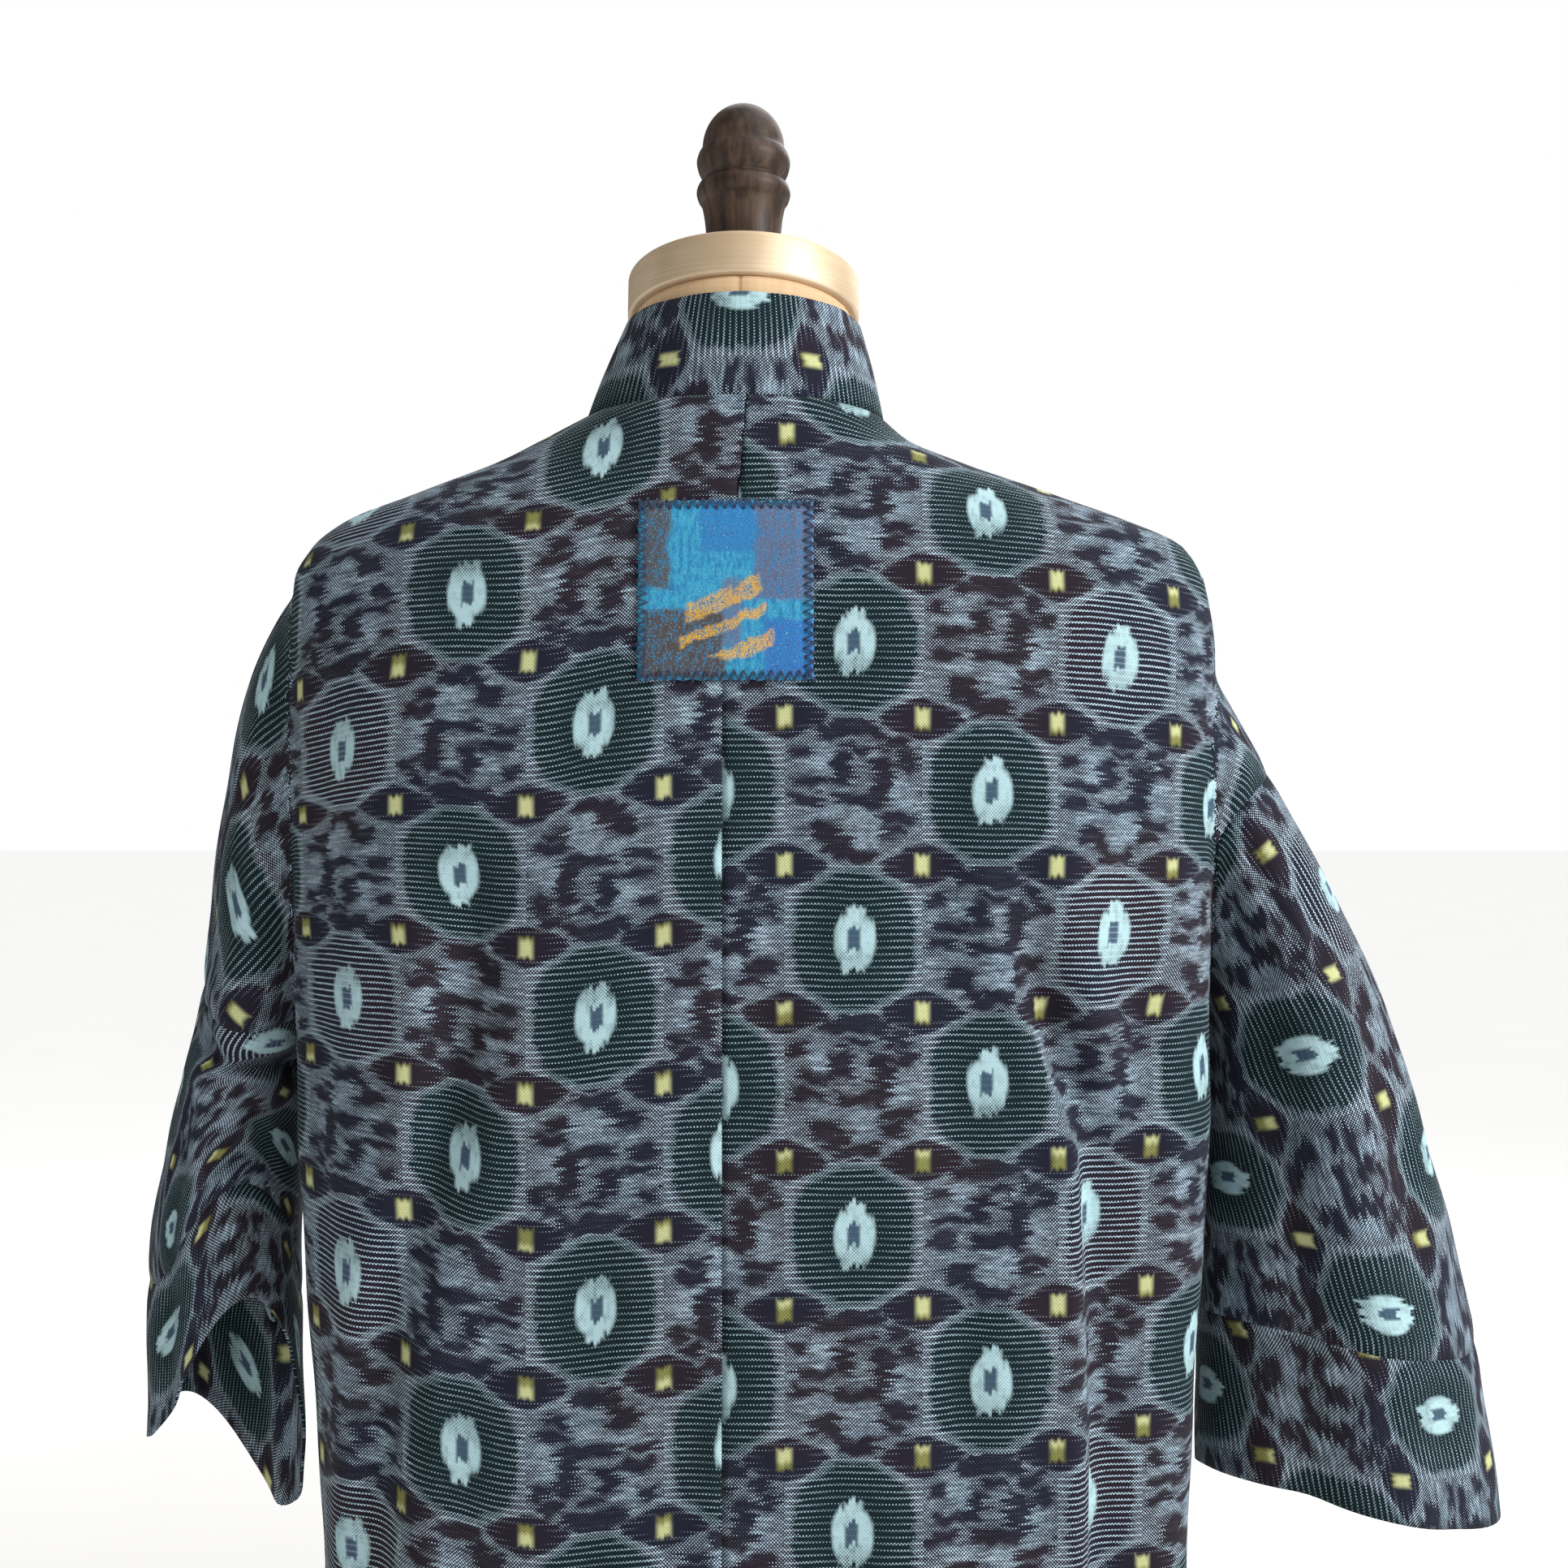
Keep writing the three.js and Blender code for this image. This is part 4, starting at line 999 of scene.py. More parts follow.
def finial_mesh():
    """The finial stands upright, its foot cut to the slope of the cap."""
    columns = 96
    heights = np.concatenate([np.linspace(0, 34, 14), np.linspace(35, FINIAL["height"][-1], 90)])
    rings = [(along(FINIAL, "height", "radius", h), h) for h in heights]
    for angle in np.radians(np.linspace(6, 87, 20)):
        dome = FINIAL_TOP - FINIAL["height"][-1]
        rings.append((FINIAL["radius"][-1] * math.cos(angle), FINIAL["height"][-1] + dome * math.sin(angle)))
    mesh = turned("finial", [(0, 0), *rings, (0, FINIAL_TOP)], columns)
    seat = CAP_LEVEL + CAP_HEIGHT / math.cos(CAP_TILT) + SEAM_GAP
    for vertex in mesh.vertices:
        height = vertex.co.z / MM
        slope = max(0, 1 - height / 12)
        vertex.co.z = (DATUM + seat + height) * MM + slope * vertex.co.y * math.tan(CAP_TILT)
    return mesh


def base_mesh():
    under = [(0, 0), (120, 0), (BASE_RADIUS, 0)]
    edge = rounded_corner(BASE_RADIUS, BASE_HEIGHT - BASE_EDGE, BASE_EDGE, 0, 90)
    top = [(radius, BASE_HEIGHT) for radius in (BASE_RADIUS - BASE_EDGE - 12, 60, 0)]
    return turned("base", [*under, *edge, *top], 160)


def pole_mesh():
    top = DATUM + FORM["z"][0] - SEAM_GAP
    bottom = BASE_HEIGHT + SEAM_GAP
    middle = [(POLE_RADIUS, h) for h in np.linspace(bottom, top, 12)]
    return turned("pole", [(0, bottom), *middle, (0, top)], 72)


# ---- Materials ----

def srgb(red, green, blue):
    """A colour given in 8-bit steps, as linear light."""
    def linear(step):
        value = step / 255
        return value / 12.92 if value <= 0.04045 else ((value + 0.055) / 1.055) ** 2.4
    return (linear(red), linear(green), linear(blue), 1)


class Field:
    """A number that varies over a material, so that patterns are written as arithmetic."""

    def __init__(self, tree, socket):
        self.tree, self.socket = tree, socket

    def node(self, operation, *others):
        made = self.tree.nodes.new("ShaderNodeMath")
        made.operation = operation
        for slot, value in zip(made.inputs, (self, *others)):
            if isinstance(value, Field):
                self.tree.links.new(value.socket, slot)
            else:
                slot.default_value = value
        return Field(self.tree, made.outputs[0])

    def __rsub__(self, other):
        return self.node("MULTIPLY", -1.0).node("ADD", other)

    def step(self, low, high):
        """0 below low and 1 above high, or the other way round where low is the greater."""
        made = self.tree.nodes.new("ShaderNodeMapRange")
        made.interpolation_type = "SMOOTHSTEP"
        self.tree.links.new(self.socket, made.inputs["Value"])
        rising = low < high
        made.inputs["From Min"].default_value = min(low, high)
        made.inputs["From Max"].default_value = max(low, high)
        made.inputs["To Min"].default_value = 0 if rising else 1
        made.inputs["To Max"].default_value = 1 if rising else 0
        return Field(self.tree, made.outputs["Result"])


def field_method(operation):
    return lambda field, *others: field.node(operation, *others)


FIELD_METHODS = {
    "__add__": "ADD",
    "__radd__": "ADD",
    "__sub__": "SUBTRACT",
    "__mul__": "MULTIPLY",
    "__rmul__": "MULTIPLY",
    "__truediv__": "DIVIDE",
    "floor": "FLOOR",
    "fraction": "FRACT",
    "size": "ABSOLUTE",
    "cosine": "COSINE",
    "sine": "SINE",
    "most": "MAXIMUM",
    "power": "POWER",
    "modulo": "FLOORED_MODULO",
}
for method_name, math_operation in FIELD_METHODS.items():
    setattr(Field, method_name, field_method(math_operation))


class Material:
    """A node material with a Principled shader and helpers for procedural fields."""

    def __init__(self, name, roughness, **values):
        self.material = bpy.data.materials.new(name)
        self.material.use_nodes = True
        self.tree = self.material.node_tree
        self.shader = self.tree.nodes["Principled BSDF"]
        self.shader.inputs["Roughness"].default_value = roughness
        for key, value in values.items():
            self.shader.inputs[key.replace("_", " ")].default_value = value

    def cloth(self):
        """Weft and warp distances in millimetres."""
        source = self.tree.nodes.new("ShaderNodeUVMap")
        source.uv_map = "cloth"
        return self.parts(source.outputs[0])

    def place(self):
        """The point's own place in the object, in metres."""
        source = self.tree.nodes.new("ShaderNodeTexCoord")
        return self.parts(source.outputs["Object"])

    def parts(self, socket):
        split = self.tree.nodes.new("ShaderNodeSeparateXYZ")
        self.tree.links.new(socket, split.inputs[0])
        return [Field(self.tree, output) for output in split.outputs]

    def vector(self, *fields):
        made = self.tree.nodes.new("ShaderNodeCombineXYZ")
        for slot, value in zip(made.inputs, fields):
            if isinstance(value, Field):
                self.tree.links.new(value.socket, slot)
            else:
                slot.default_value = value
        return made.outputs[0]

    def noise(self, *fields, scale=1.0, detail=2.0, roughness=0.5):
        made = self.tree.nodes.new("ShaderNodeTexNoise")
        made.noise_dimensions = "3D"
        made.inputs["Scale"].default_value = scale
        made.inputs["Detail"].default_value = detail
        made.inputs["Roughness"].default_value = roughness
        self.tree.links.new(self.vector(*fields), made.inputs["Vector"])
        return Field(self.tree, made.outputs[0])

    def scatter(self, *fields):
        """A number from 0 to 1 that jumps from whole number to whole number."""
        made = self.tree.nodes.new("ShaderNodeTexWhiteNoise")
        made.noise_dimensions = "3D"
        self.tree.links.new(self.vector(*fields), made.inputs["Vector"])
        return Field(self.tree, made.outputs[0])

    def blend(self, share, first, second):
        """A colour between two, each a colour or another blend."""
        made = self.tree.nodes.new("ShaderNodeMix")
        made.data_type = "RGBA"
        self.tree.links.new(share.socket, made.inputs[0])
        for slot, value in ((made.inputs[6], first), (made.inputs[7], second)):
            if isinstance(value, tuple):
                slot.default_value = value
            else:
                self.tree.links.new(value, slot)
        return made.outputs[2]

    def bump(self, height, distance, strength=1.0):
        made = self.tree.nodes.new("ShaderNodeBump")
        made.inputs["Strength"].default_value = strength
        made.inputs["Distance"].default_value = distance * MM
        self.tree.links.new(height.socket, made.inputs["Height"])
        self.tree.links.new(made.outputs[0], self.shader.inputs["Normal"])

    def colour(self, socket):
        self.tree.links.new(socket, self.shader.inputs["Base Color"])

    def rough(self, field):
        self.tree.links.new(field.socket, self.shader.inputs["Roughness"])


def box_field(x, y, centre_x, centre_y, width, height, edge):
    """1 inside a box and 0 outside it, over a soft edge."""
    far = ((x - centre_x).size() - width / 2).most((y - centre_y).size() - height / 2)
    return far.step(edge, -edge)


OVAL_POWER = 2.4  # 2 is an ellipse, and more is squarer


def oval_field(x, y, centre_x, centre_y, width, height, edge):
    """1 inside an oval and 0 outside it. The edge is a share of its size."""
    across = ((x - centre_x).size() / (width / 2)).power(OVAL_POWER)
    up = ((y - centre_y).size() / (height / 2)).power(OVAL_POWER)
    return (across + up).step(1 + edge, 1 - edge)


NAVY = srgb(30, 32, 47)
MAROON = srgb(38, 31, 41)
GREEN = srgb(17, 35, 40)
BLUE = srgb(70, 96, 124)
WHITE = srgb(200, 224, 238)
CYAN = srgb(184, 218, 224)
PALE_YELLOW = srgb(206, 210, 152)
OLIVE = srgb(146, 146, 82)
GREEN_WHITE = srgb(118, 150, 152)

# Where the cotton's second cell stays dark and where it is palest: the place of each patch from
# the cell's middle, its width and its height.
DARK_PATCHES = (
    (-0.5, 27, 31, 7), (0.7, 31.5, 20, 6), (19.5, 21, 10, 7), (25, 14, 8, 8), (17, 12, 18, 3.4),
    (-6, 10, 10, 13), (12.5, 6, 9.5, 20), (2.8, -4, 25, 6), (-18.5, 5, 16, 5), (-22, -3, 13, 6),
    (-24, 17, 8, 6), (-13.5, -18, 13, 9.5), (1, -27.3, 19, 7), (-8, -23.5, 11, 6), (19.5, -12, 16, 6.5),
    (16, -18.5, 12, 5.5), (2, 19, 13, 4),
)
PALE_PATCHES = ((4.5, -15, 13, 16), (-14, 14, 8, 13), (21.5, 0, 8, 15), (-14, -9, 12, 5))


def kasuri_material():
    """Ikat-dyed cotton: two cells in a checkerboard, with a yellow mark at each corner."""
    cotton = Material("kasuri_cotton", 0.9, Sheen_Weight=0.03, Sheen_Roughness=0.5, Specular_IOR_Level=0.12)
    u, v, _ = cotton.cloth()

    # Threads, and how far the dye slipped along them.
    thread_u, thread_v = 1.5, 0.8
    row = (v / thread_v + 0.5).floor()
    thread = (u / thread_u + 0.5).floor()
    slip = (cotton.scatter(row, 3.0, 0.0) - 0.5) * 4.6
    slip = slip + (cotton.noise(u * 0.03, row * 0.5, detail=1.0) - 0.5) * 15.0
    wander = (cotton.noise(u * 0.022, v * 0.022, detail=1.0) - 0.5) * 9.0
    slow_v = cotton.noise(thread * 0.5, v * 0.03, detail=1.0)
    feathered = v + (cotton.scatter(thread, 7.0, 0.0) - 0.5) * 3.0 + (slow_v - 0.5) * 3.4
    sway = (cotton.noise(u * 0.09, v * 0.09, 12.0, detail=1.0) - 0.5) * 10.0

    def cell(across, up):
        """Place from the middle of a repeat's cell, and the cell's column and level."""
        column = (across / REPEAT_U + 0.5).floor()
        level = (up / REPEAT_V).floor()
        return across - column * REPEAT_U, up - (level + 0.5) * REPEAT_V, column, level

    a, b, _, _ = cell(u + slip + sway * 0.5, v + wander * 0.5 + sway)
    calm_a, calm_b, _, _ = cell(u + slip * 0.5, v + wander * 0.3 + sway * 0.12)
    crisp_a, feather_b, column, level = cell(u, feathered)
    steady = (u / REPEAT_U + 0.5).floor() + (v / REPEAT_V).floor()
    is_plain = steady.modulo(2.0).step(0.4, 0.6)
    is_disc = 1.0 - is_plain
    chance = cotton.scatter(column, level, 5.0)
    chance_two = cotton.scatter(column, level, 9.0)

    # Dark lozenges at the cells' corners, in pale outlines that join up into a network.
    corner_a = (calm_a.size() - REPEAT_U / 2).size()
    corner_b = (calm_b.size() - REPEAT_V / 2).size()
    lozenge = (corner_a / 18.7).power(1.35) + (corner_b / 9.4).power(1.35)
    dark_lozenge = lozenge.step(1.16, 0.9)
    outline = lozenge.step(0.9, 1.16) * lozenge.step(1.8, 1.4)
    clear = lozenge.step(0.95, 1.12)
    level_edge = corner_b.step(3.4, 1.8) * clear
    upright_edge = corner_a.step(5.6, 3.2) * clear
    network = outline.most(level_edge).most(upright_edge * 0.9)

    # The striped disc of every other cell. One column in four has grey discs, and the others green.
    disc = (calm_a.size() / 28.0).power(2.15) + (calm_b.size() / 33.0).power(2.15)
    inside = disc.step(1.12, 0.84)
    is_grey = (column.modulo(4.0) - 3.0).size().step(0.6, 0.4)
    green = is_disc * inside * (1.0 - is_grey)
    dim = is_disc * disc.step(0.75, 0.05) * (1.0 - is_grey)

    # The cloudy cells between the discs.
    def patches(shapes, softness):
        total = None
        for centre_a, centre_b, width, height in shapes:
            shape = box_field(a, b, centre_a, centre_b, width, height, softness)
            total = shape if total is None else total.most(shape)
        return total * is_plain

    dark = patches(DARK_PATCHES, 1.5)
    pale = patches(PALE_PATCHES, 1.8)

    dash = cotton.noise(u * 0.15, row * 3.1, 15.0, detail=1.0)
    thready = cotton.noise(u * 0.08, row * 1.7, 4.0, detail=1.0)
    streak = thready * 0.35 + cotton.noise(u * 0.06, v * 0.42, 9.0) * 0.35 + dash * 0.3
    cloud = cotton.noise(u * 0.035, v * 0.06, 8.0, detail=2.0)

    # How much of each place is light thread, from 0 to 1.
    stripe = (((v + wander * 0.35) / STRIPE_PITCH).fraction() - 0.5).size().step(0.26, 0.42)
    striped = stripe * (0.60 - 0.12 * green - 0.12 * dim) + 0.2 * (1.0 - inside) * (1.0 - stripe)
    mottled = 0.33 + 0.04 * stripe + pale * 0.08 + (streak - 0.5) * 1.4
    tone = is_disc * striped + is_plain * mottled
    tone = tone.most(network * (0.18 + 0.36 * streak))
    tone = tone * (1.0 - dark * 0.86 * (1.0 - pale)) * (1.0 - dark_lozenge * 0.97)
    tone = tone + dark_lozenge * stripe * 0.16 * lozenge.step(0.3, 0.9)
    tone = tone * (0.7 + 0.6 * cloud)

    # The weave: light threads show as dots, which are larger where the tone is higher.
    dots = (u * (2 * math.pi / thread_u)).cosine() * (v * (math.pi / thread_v)).cosine()
    light = (dots * 0.5 + 0.5 + tone - 1.0).step(-0.12, 0.12)
    light = light * (0.72 + 0.5 * cotton.scatter(thread, row, 1.0)) * tone.step(0.02, 0.1)

    fleck = cotton.noise(u * 0.4, v * 0.9, 2.0, detail=2.0)
    ground = cotton.blend(cotton.noise(u * 0.012, v * 0.012, 7.0, detail=1.0).step(0.42, 0.58), NAVY, MAROON)
    ground = cotton.blend(green, ground, GREEN)
    ground = cotton.blend(pale * 0.15, ground, BLUE)
    thread_colour = cotton.blend((green * 0.4).most(dim * 0.8), WHITE, GREEN_WHITE)
    thread_colour = cotton.blend(fleck.step(0.35, 0.7) * 0.3, thread_colour, BLUE)
    cloth = cotton.blend(light * 0.9, ground, thread_colour)

    # Cyan rings with a dark eye in the middles of the discs.
    near_a = crisp_a + (chance - 0.5) * 2.4
    near_b = feather_b + (chance_two - 0.5) * 3.0
    ring = oval_field(near_a, near_b, 0, -0.5, 18.2, 25, 0.3)
    upper_step = box_field(near_a, near_b, 0.5, 3.0, 8.0, 23, 1.2)
    lower_step = box_field(near_a, near_b, -1, -3, 10, 22, 1.2)
    ring = ring.most(upper_step).most(lower_step) * is_disc
    eye = box_field(near_a, near_b, -0.5, 0.0, 5.4, 9.6, 1.0)
    weave = (dots * 0.5 + 0.5).step(0.1, 0.7)
    worn_dye = cotton.noise(thread * 0.4, v * 0.14, 6.0, detail=2.0)
    fade = near_b.step(-1.0, -12.0) * (0.3 + 0.5 * chance) + worn_dye.step(0.55, 0.32) * 0.5
    cyan = ring * (1.0 - eye * 0.9) * (1.0 - fade * (1.0 - weave * 0.7))
    cloth = cotton.blend(cyan * (0.76 + 0.24 * weave), cloth, CYAN)
    cloth = cotton.blend(ring * eye * (0.45 + 0.55 * weave) * 0.7, cloth, BLUE)

    # Yellow marks in the middles of the lozenges.
    mark_u = ((u / REPEAT_U).fraction() - 0.5) * REPEAT_U
    mark_v = (((v * 0.5 + feathered * 0.5) / REPEAT_V + 0.5).fraction() - 0.5) * REPEAT_V
    luck = cotton.scatter((u / REPEAT_U).floor(), (v / REPEAT_V + 0.5).floor(), 2.0)
    mark = box_field(mark_u, mark_v, 0, 0, 6.0, 8.8, 1.6)
    dyed = (mark_v + (luck - 0.4) * 7.0).step(-2.4, 1.4)
    yellow = cotton.blend(dyed, OLIVE, PALE_YELLOW)
    cloth = cotton.blend(mark * (0.66 + 0.34 * weave) * (0.55 + 0.45 * dyed.most(weave)), cloth, yellow)
    cotton.colour(cloth)

    relief = dots * 0.35 + stripe * 0.4 + fleck * 0.3
    cotton.bump(relief, 0.16, 0.9)
    return cotton.material


def stitch_material():
    thread = Material("stitch_thread", 0.55, Base_Color=srgb(22, 32, 62), Sheen_Weight=0.2)
    x, y, z = thread.place()
    twist = ((x + z) * 9000.0 + y * 4000.0).sine()
    thread.colour(thread.blend(twist.step(-0.8, 0.8), srgb(14, 22, 48), srgb(40, 54, 92)))
    thread.bump(twist, 0.05, 0.6)
    return thread.material


def patch_material():
    """Painted cotton in loose blocks with brushed gold bars, a design of its own."""
    paint = Material("painted_cotton", 0.72, Sheen_Weight=0.05, Specular_IOR_Level=0.35)
    u, v, _ = paint.cloth()
    wobble = paint.noise(u * 0.09, v * 0.09, 1.0, detail=4.0, roughness=0.65) - 0.5
    scrape = paint.noise(u * 0.5, v * 0.16, 3.0, detail=5.0, roughness=0.7)
    grain = paint.noise(u * 1.2, v * 1.2, 8.0, detail=3.0, roughness=0.75)
    x, y = u + wobble * 9.0, v + wobble * 7.0
    colour = paint.blend(scrape.step(0.35, 0.65), srgb(28, 124, 178), srgb(64, 186, 226))
    blocks = (
        (13, 58, 27, 44, srgb(104, 98, 134), 0.85),
        (58, 16, 36, 30, srgb(84, 60, 44), 0.95),
        (38, 70, 24, 26, srgb(38, 122, 196), 0.8),
        (10, 14, 24, 26, srgb(46, 104, 196), 0.8),
        (70, 62, 12, 42, srgb(88, 64, 48), 0.9),
        (36, 30, 9, 30, srgb(112, 108, 140), 0.8),
    )
    for centre_u, centre_v, width, height, shade, strength in blocks:
        block = box_field(x, y, centre_u, centre_v, width, height, 1.6) * strength
        block = block * (scrape * 0.5 + grain * 0.5).step(0.42, 0.50)
        colour = paint.blend(block, colour, shade)
    bars = None
    for offset, width in ((0, 7.5), (15, 5.0), (27, 8.5)):
        slant = x * 0.42 + y - 26.0 - offset
        bar = slant.size().step(width / 2 + 0.8, width / 2 - 0.8)
        bar = bar * box_field(x, y, 40, 45, 46 - offset * 0.5, 70, 1.0)
        bars = bar if bars is None else bars.most(bar)
    worn = (grain + scrape * 0.6).step(0.68, 0.84)
    gold = bars * worn
    bright = paint.blend(grain.step(0.4, 0.6), srgb(224, 156, 40), srgb(248, 198, 84))
    colour = paint.blend(gold * 0.92, colour, bright)
    weave = (u * 6.6).sine() * (v * 6.6).sine()
    flakes = (grain * 0.6 + scrape * 0.4).step(0.53, 0.57)
    colour = paint.blend(flakes * 0.5 * (1.0 - gold * 0.7), colour, srgb(70, 54, 48))
    colour = paint.blend(weave.step(0.2, 0.9) * 0.36, colour, srgb(22, 40, 62))
    specks = paint.noise(u * 0.8, v * 0.8, 21.0, detail=1.0).step(0.71, 0.74)
    colour = paint.blend(specks * 0.6, colour, srgb(190, 205, 205))
    paint.colour(colour)
    paint.bump(weave * 0.5 + gold * 0.8 + scrape * 0.5 + grain * 0.6, 0.2, 0.9)
    return paint.material


def linen_material():
    linen = Material("linen", 0.86, Sheen_Weight=0.15, Specular_IOR_Level=0.2)
    x, y, z = linen.place()
    slub = linen.noise(x * 300.0, y * 300.0, z * 40.0, detail=3.0)
    weft = linen.noise(x * 40.0, y * 40.0, z * 900.0, detail=2.0)
    cloud = linen.noise(x * 14.0, y * 14.0, z * 14.0, detail=2.0)
    threads = (z * 5200.0).sine() * 0.5 + slub + weft
    colour = linen.blend((slub + weft).step(0.6, 1.4), srgb(226, 188, 146), srgb(238, 204, 164))
    colour = linen.blend(cloud.step(0.3, 0.7) * 0.35, colour, srgb(222, 186, 142))
    seam = (x.size()).step(0.0011, 0.0003)
    colour = linen.blend(seam * 0.55, colour, srgb(150, 116, 78))
    linen.colour(colour)
    linen.bump(threads, 0.08, 0.3)
    return linen.material


def brushed_metal(name, dark, pale, roughness, turn_scale, metallic):
    """Spun metal: its scratches run round the axis."""
    metal = Material(name, roughness, Metallic=metallic)
    x, y, z = metal.place()
    radius = (x * x + y * y).power(0.5)
    scratch = metal.noise(radius * turn_scale, z * turn_scale, detail=4.0, roughness=0.7)
    blotch = metal.noise(x * 22.0, y * 22.0, z * 22.0, detail=3.0)
    pit = metal.noise(x * 320.0, y * 320.0, z * 320.0, detail=2.0)
    colour = metal.blend((scratch * 0.35 + blotch * 0.65).step(0.35, 0.65), dark, pale)
    colour = metal.blend(pit.step(0.66, 0.74) * 0.4, colour, dark)
    metal.colour(colour)
    metal.rough(roughness - 0.08 + 0.16 * blotch + 0.08 * scratch)
    metal.bump(scratch + pit * 0.4, 0.03, 0.35)
    return metal.material


def wood_material():
    """Dark varnished wood, worn to fine pits, with a drying crack down one side."""
    wood = Material("turned_wood", 0.4, Specular_IOR_Level=0.24)
    x, y, z = wood.place()
    grain = wood.noise(x * 220.0, y * 220.0, z * 34.0, detail=4.0, roughness=0.6)
    cloud = wood.noise(x * 45.0, y * 45.0, z * 45.0, detail=3.0)
    pits = wood.noise(x * 620.0, y * 620.0, z * 620.0, detail=3.0, roughness=0.6)
    chips = wood.noise(x * 190.0, y * 190.0, z * 190.0, detail=4.0, roughness=0.7)
    colour = wood.blend((grain * 0.6 + cloud * 0.4).step(0.38, 0.64), srgb(48, 37, 31), srgb(86, 69, 57))
    colour = wood.blend(chips.step(0.66, 0.72) * 0.35, colour, srgb(122, 104, 88))
    crack = (x * 0.57 - y * 0.82 + (grain - 0.5) * 0.0012).size().step(0.00045, 0.0001) * y.step(0.0, 0.002)
    colour = wood.blend(crack * 0.75, colour, srgb(20, 15, 13))
    wood.colour(colour)
    wood.rough(0.32 + 0.16 * cloud + 0.12 * pits)
    wood.bump(pits * 0.8 + chips * 0.4 + grain * 0.2 - crack * 1.5, 0.1, 0.35)
    return wood.material


def floor_material():
    floor = Material("studio_floor", 0.85, Specular_IOR_Level=0.1)
    x, y, _ = floor.place()
    cloud = floor.noise(x * 2.0, y * 2.0, detail=2.0)
    floor.colour(floor.blend(cloud, srgb(232, 231, 229), srgb(240, 239, 237)))
    # The floor glows more the farther it lies from the stand, so that far off it fades into the white
    # backdrop.
    glow = (x * x + y * y).power(0.5).step(1.0, 4.0) * FLOOR_GLOW
    floor.shader.inputs["Emission Color"].default_value = (1, 1, 1, 1)
    floor.tree.links.new(glow.socket, floor.shader.inputs["Emission Strength"])
    return floor.material


# ---- Pieces ----

kasuri = kasuri_material()


def finish_piece(piece, node, material):
    piece.data.materials.append(material)
    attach(piece, "root")
    if node:
        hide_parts(node)
    return piece


trunk, cuff_meshes = make_trunk()
for side_name, side, lay in (("left", 1, LEFT_LAY), ("right", -1, RIGHT_LAY)):
    body_mesh = piece_from(trunk, beside_seam(side), f"body_{side_name}_cloth")
    place_pattern(body_mesh, lay)
    sleeve_mesh = piece_from(trunk, sleeve_side(side), f"sleeve_{side_name}_cloth")
    meshes = {"body": body_mesh, "sleeve": sleeve_mesh, "cuff": cuff_meshes[side_name]}
    for part_name, mesh in meshes.items():
        node = f"{part_name}_{side_name}"
        piece = thicken(add_object(f"{node}_cloth", mesh), CLOTH)
        finish_piece(piece, node, kasuri)
trunk.free()

finish_piece(
    add_object("neckband_cloth", neckband_mesh()), "neckband", kasuri)
patch = thicken(add_object("patch_cloth", patch_mesh()), PATCH_THICKNESS)
finish_piece(patch, "patch", patch_material())
stitches = add_object("patch_zigzag", tube_mesh("patch_zigzag", zigzag_paths(), 0.36))
finish_piece(stitches, None, stitch_material())

finish_piece(add_object("form_linen", form_mesh()), "form_torso", linen_material())
cap = add_object("cap_spun", cap_mesh())
cap.data.transform(Matrix.Translation((0, 0, (DATUM + CAP_LEVEL) * MM)) @ Matrix.Rotation(CAP_TILT, 4, "X"))
champagne = brushed_metal("cap_metal", srgb(212, 186, 152), srgb(236, 214, 184), 0.5, 900.0, 0.5)
finish_piece(cap, "neck_cap", champagne)
finish_piece(add_object("finial_turned", finial_mesh()), "finial", wood_material())
steel = brushed_metal("stand_metal", srgb(150, 148, 145), srgb(196, 194, 190), 0.34, 700.0, 1.0)
finish_piece(add_object("pole_tube", pole_mesh()), "pole", steel)
finish_piece(add_object("base_disc", base_mesh()), "base", steel)

# ---- Studio ----

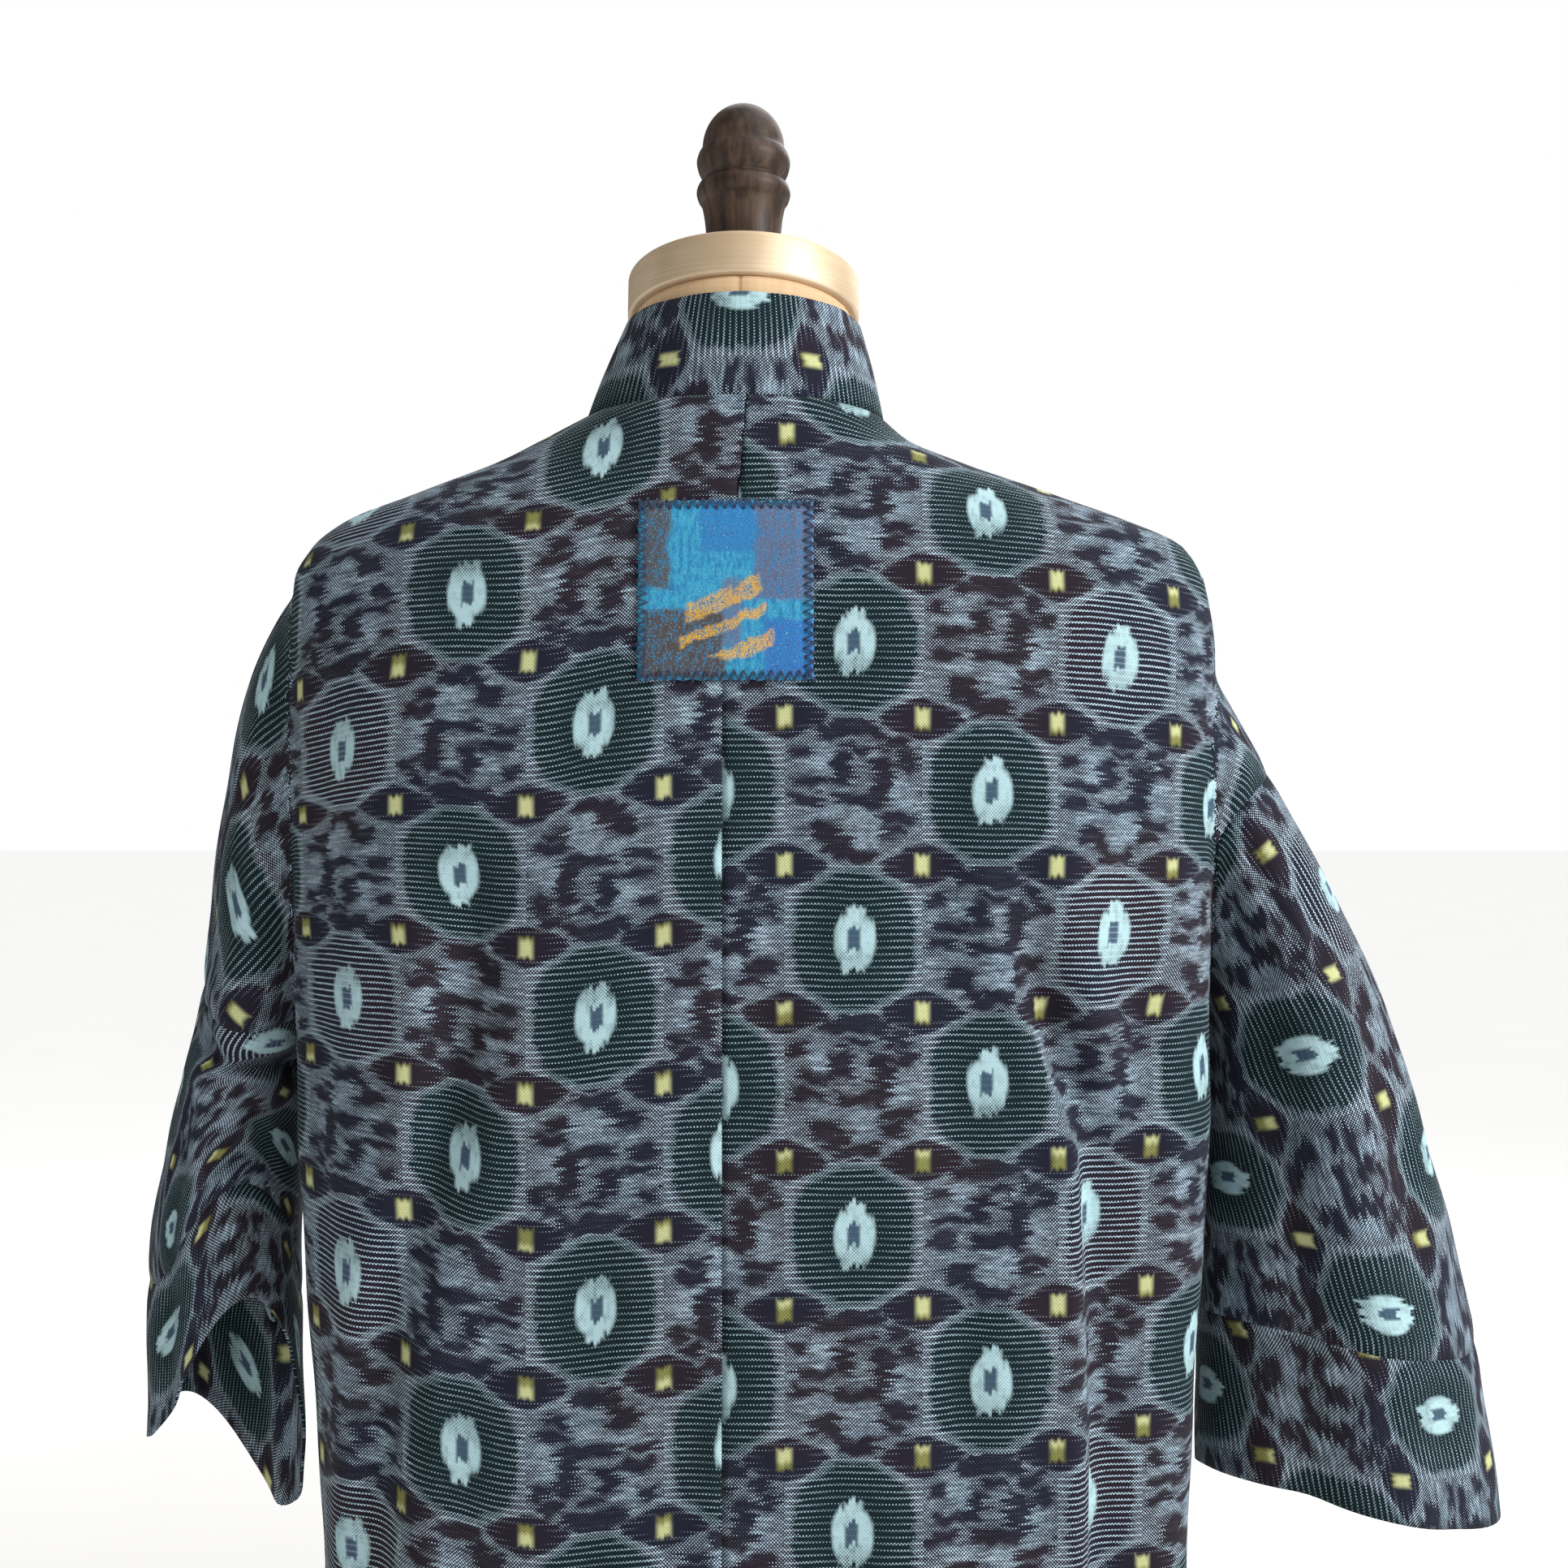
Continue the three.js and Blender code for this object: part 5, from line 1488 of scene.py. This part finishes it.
scene = bpy.context.scene
scene.view_settings.view_transform = "Standard"
scene.view_settings.look = "None"

world = bpy.data.worlds.new("studio")
world.use_nodes = True
background = world.node_tree.nodes["Background"]
background.inputs["Color"].default_value = (1, 1, 1, 1)
# The camera sees a white backdrop, and the object is lit by a dimmer one.
seen = world.node_tree.nodes.new("ShaderNodeLightPath")
strength = world.node_tree.nodes.new("ShaderNodeMapRange")
strength.inputs["To Min"].default_value = WORLD_LIGHT
strength.inputs["To Max"].default_value = 1.0
world.node_tree.links.new(seen.outputs["Is Camera Ray"], strength.inputs["Value"])
world.node_tree.links.new(strength.outputs["Result"], background.inputs["Strength"])
scene.world = world

floor_mesh = bpy.data.meshes.new("floor")
reach = FLOOR_HALF
corners = [(-reach, -reach, 0), (reach, -reach, 0), (reach, reach, 0), (-reach, reach, 0)]
floor_mesh.from_pydata(corners, [], [(0, 1, 2, 3)])
floor = add_object("studio_floor", floor_mesh)
floor.data.materials.append(floor_material())


def add_light(name, place, target, width, power):
    data = bpy.data.lights.new(name, "AREA")
    data.shape = "SQUARE"
    data.size = width
    data.energy = power
    light = bpy.data.objects.new(name, data)
    light.location = place
    light.rotation_euler = (Vector(target) - Vector(place)).to_track_quat("-Z", "Y").to_euler()
    scene.collection.objects.link(light)


add_light("key", (-2.4, 1.5, 2.4), CHEST, 0.8, 78)
add_light("front_key", (-0.8, -2.0, 3.5), CHEST, 2.8, 70)

top_data = bpy.data.lights.new("top", "SUN")
top_data.energy = 1.1
top_data.angle = math.radians(50)
top = bpy.data.objects.new("top", top_data)
top.rotation_euler = Vector((-0.45, 0.3, 1.0)).to_track_quat("Z", "Y").to_euler()
scene.collection.objects.link(top)

camera_data = bpy.data.cameras.new("camera")
camera_data.sensor_width = SENSOR
camera_data.lens = SENSOR * CAMERA_FOCAL / PHOTO_SIZE
camera = bpy.data.objects.new("camera", camera_data)
camera.location = [value * MM for value in CAMERA_PLACE]
camera.rotation_euler = (math.radians(90), 0, math.radians(180))
scene.collection.objects.link(camera)
scene.camera = camera
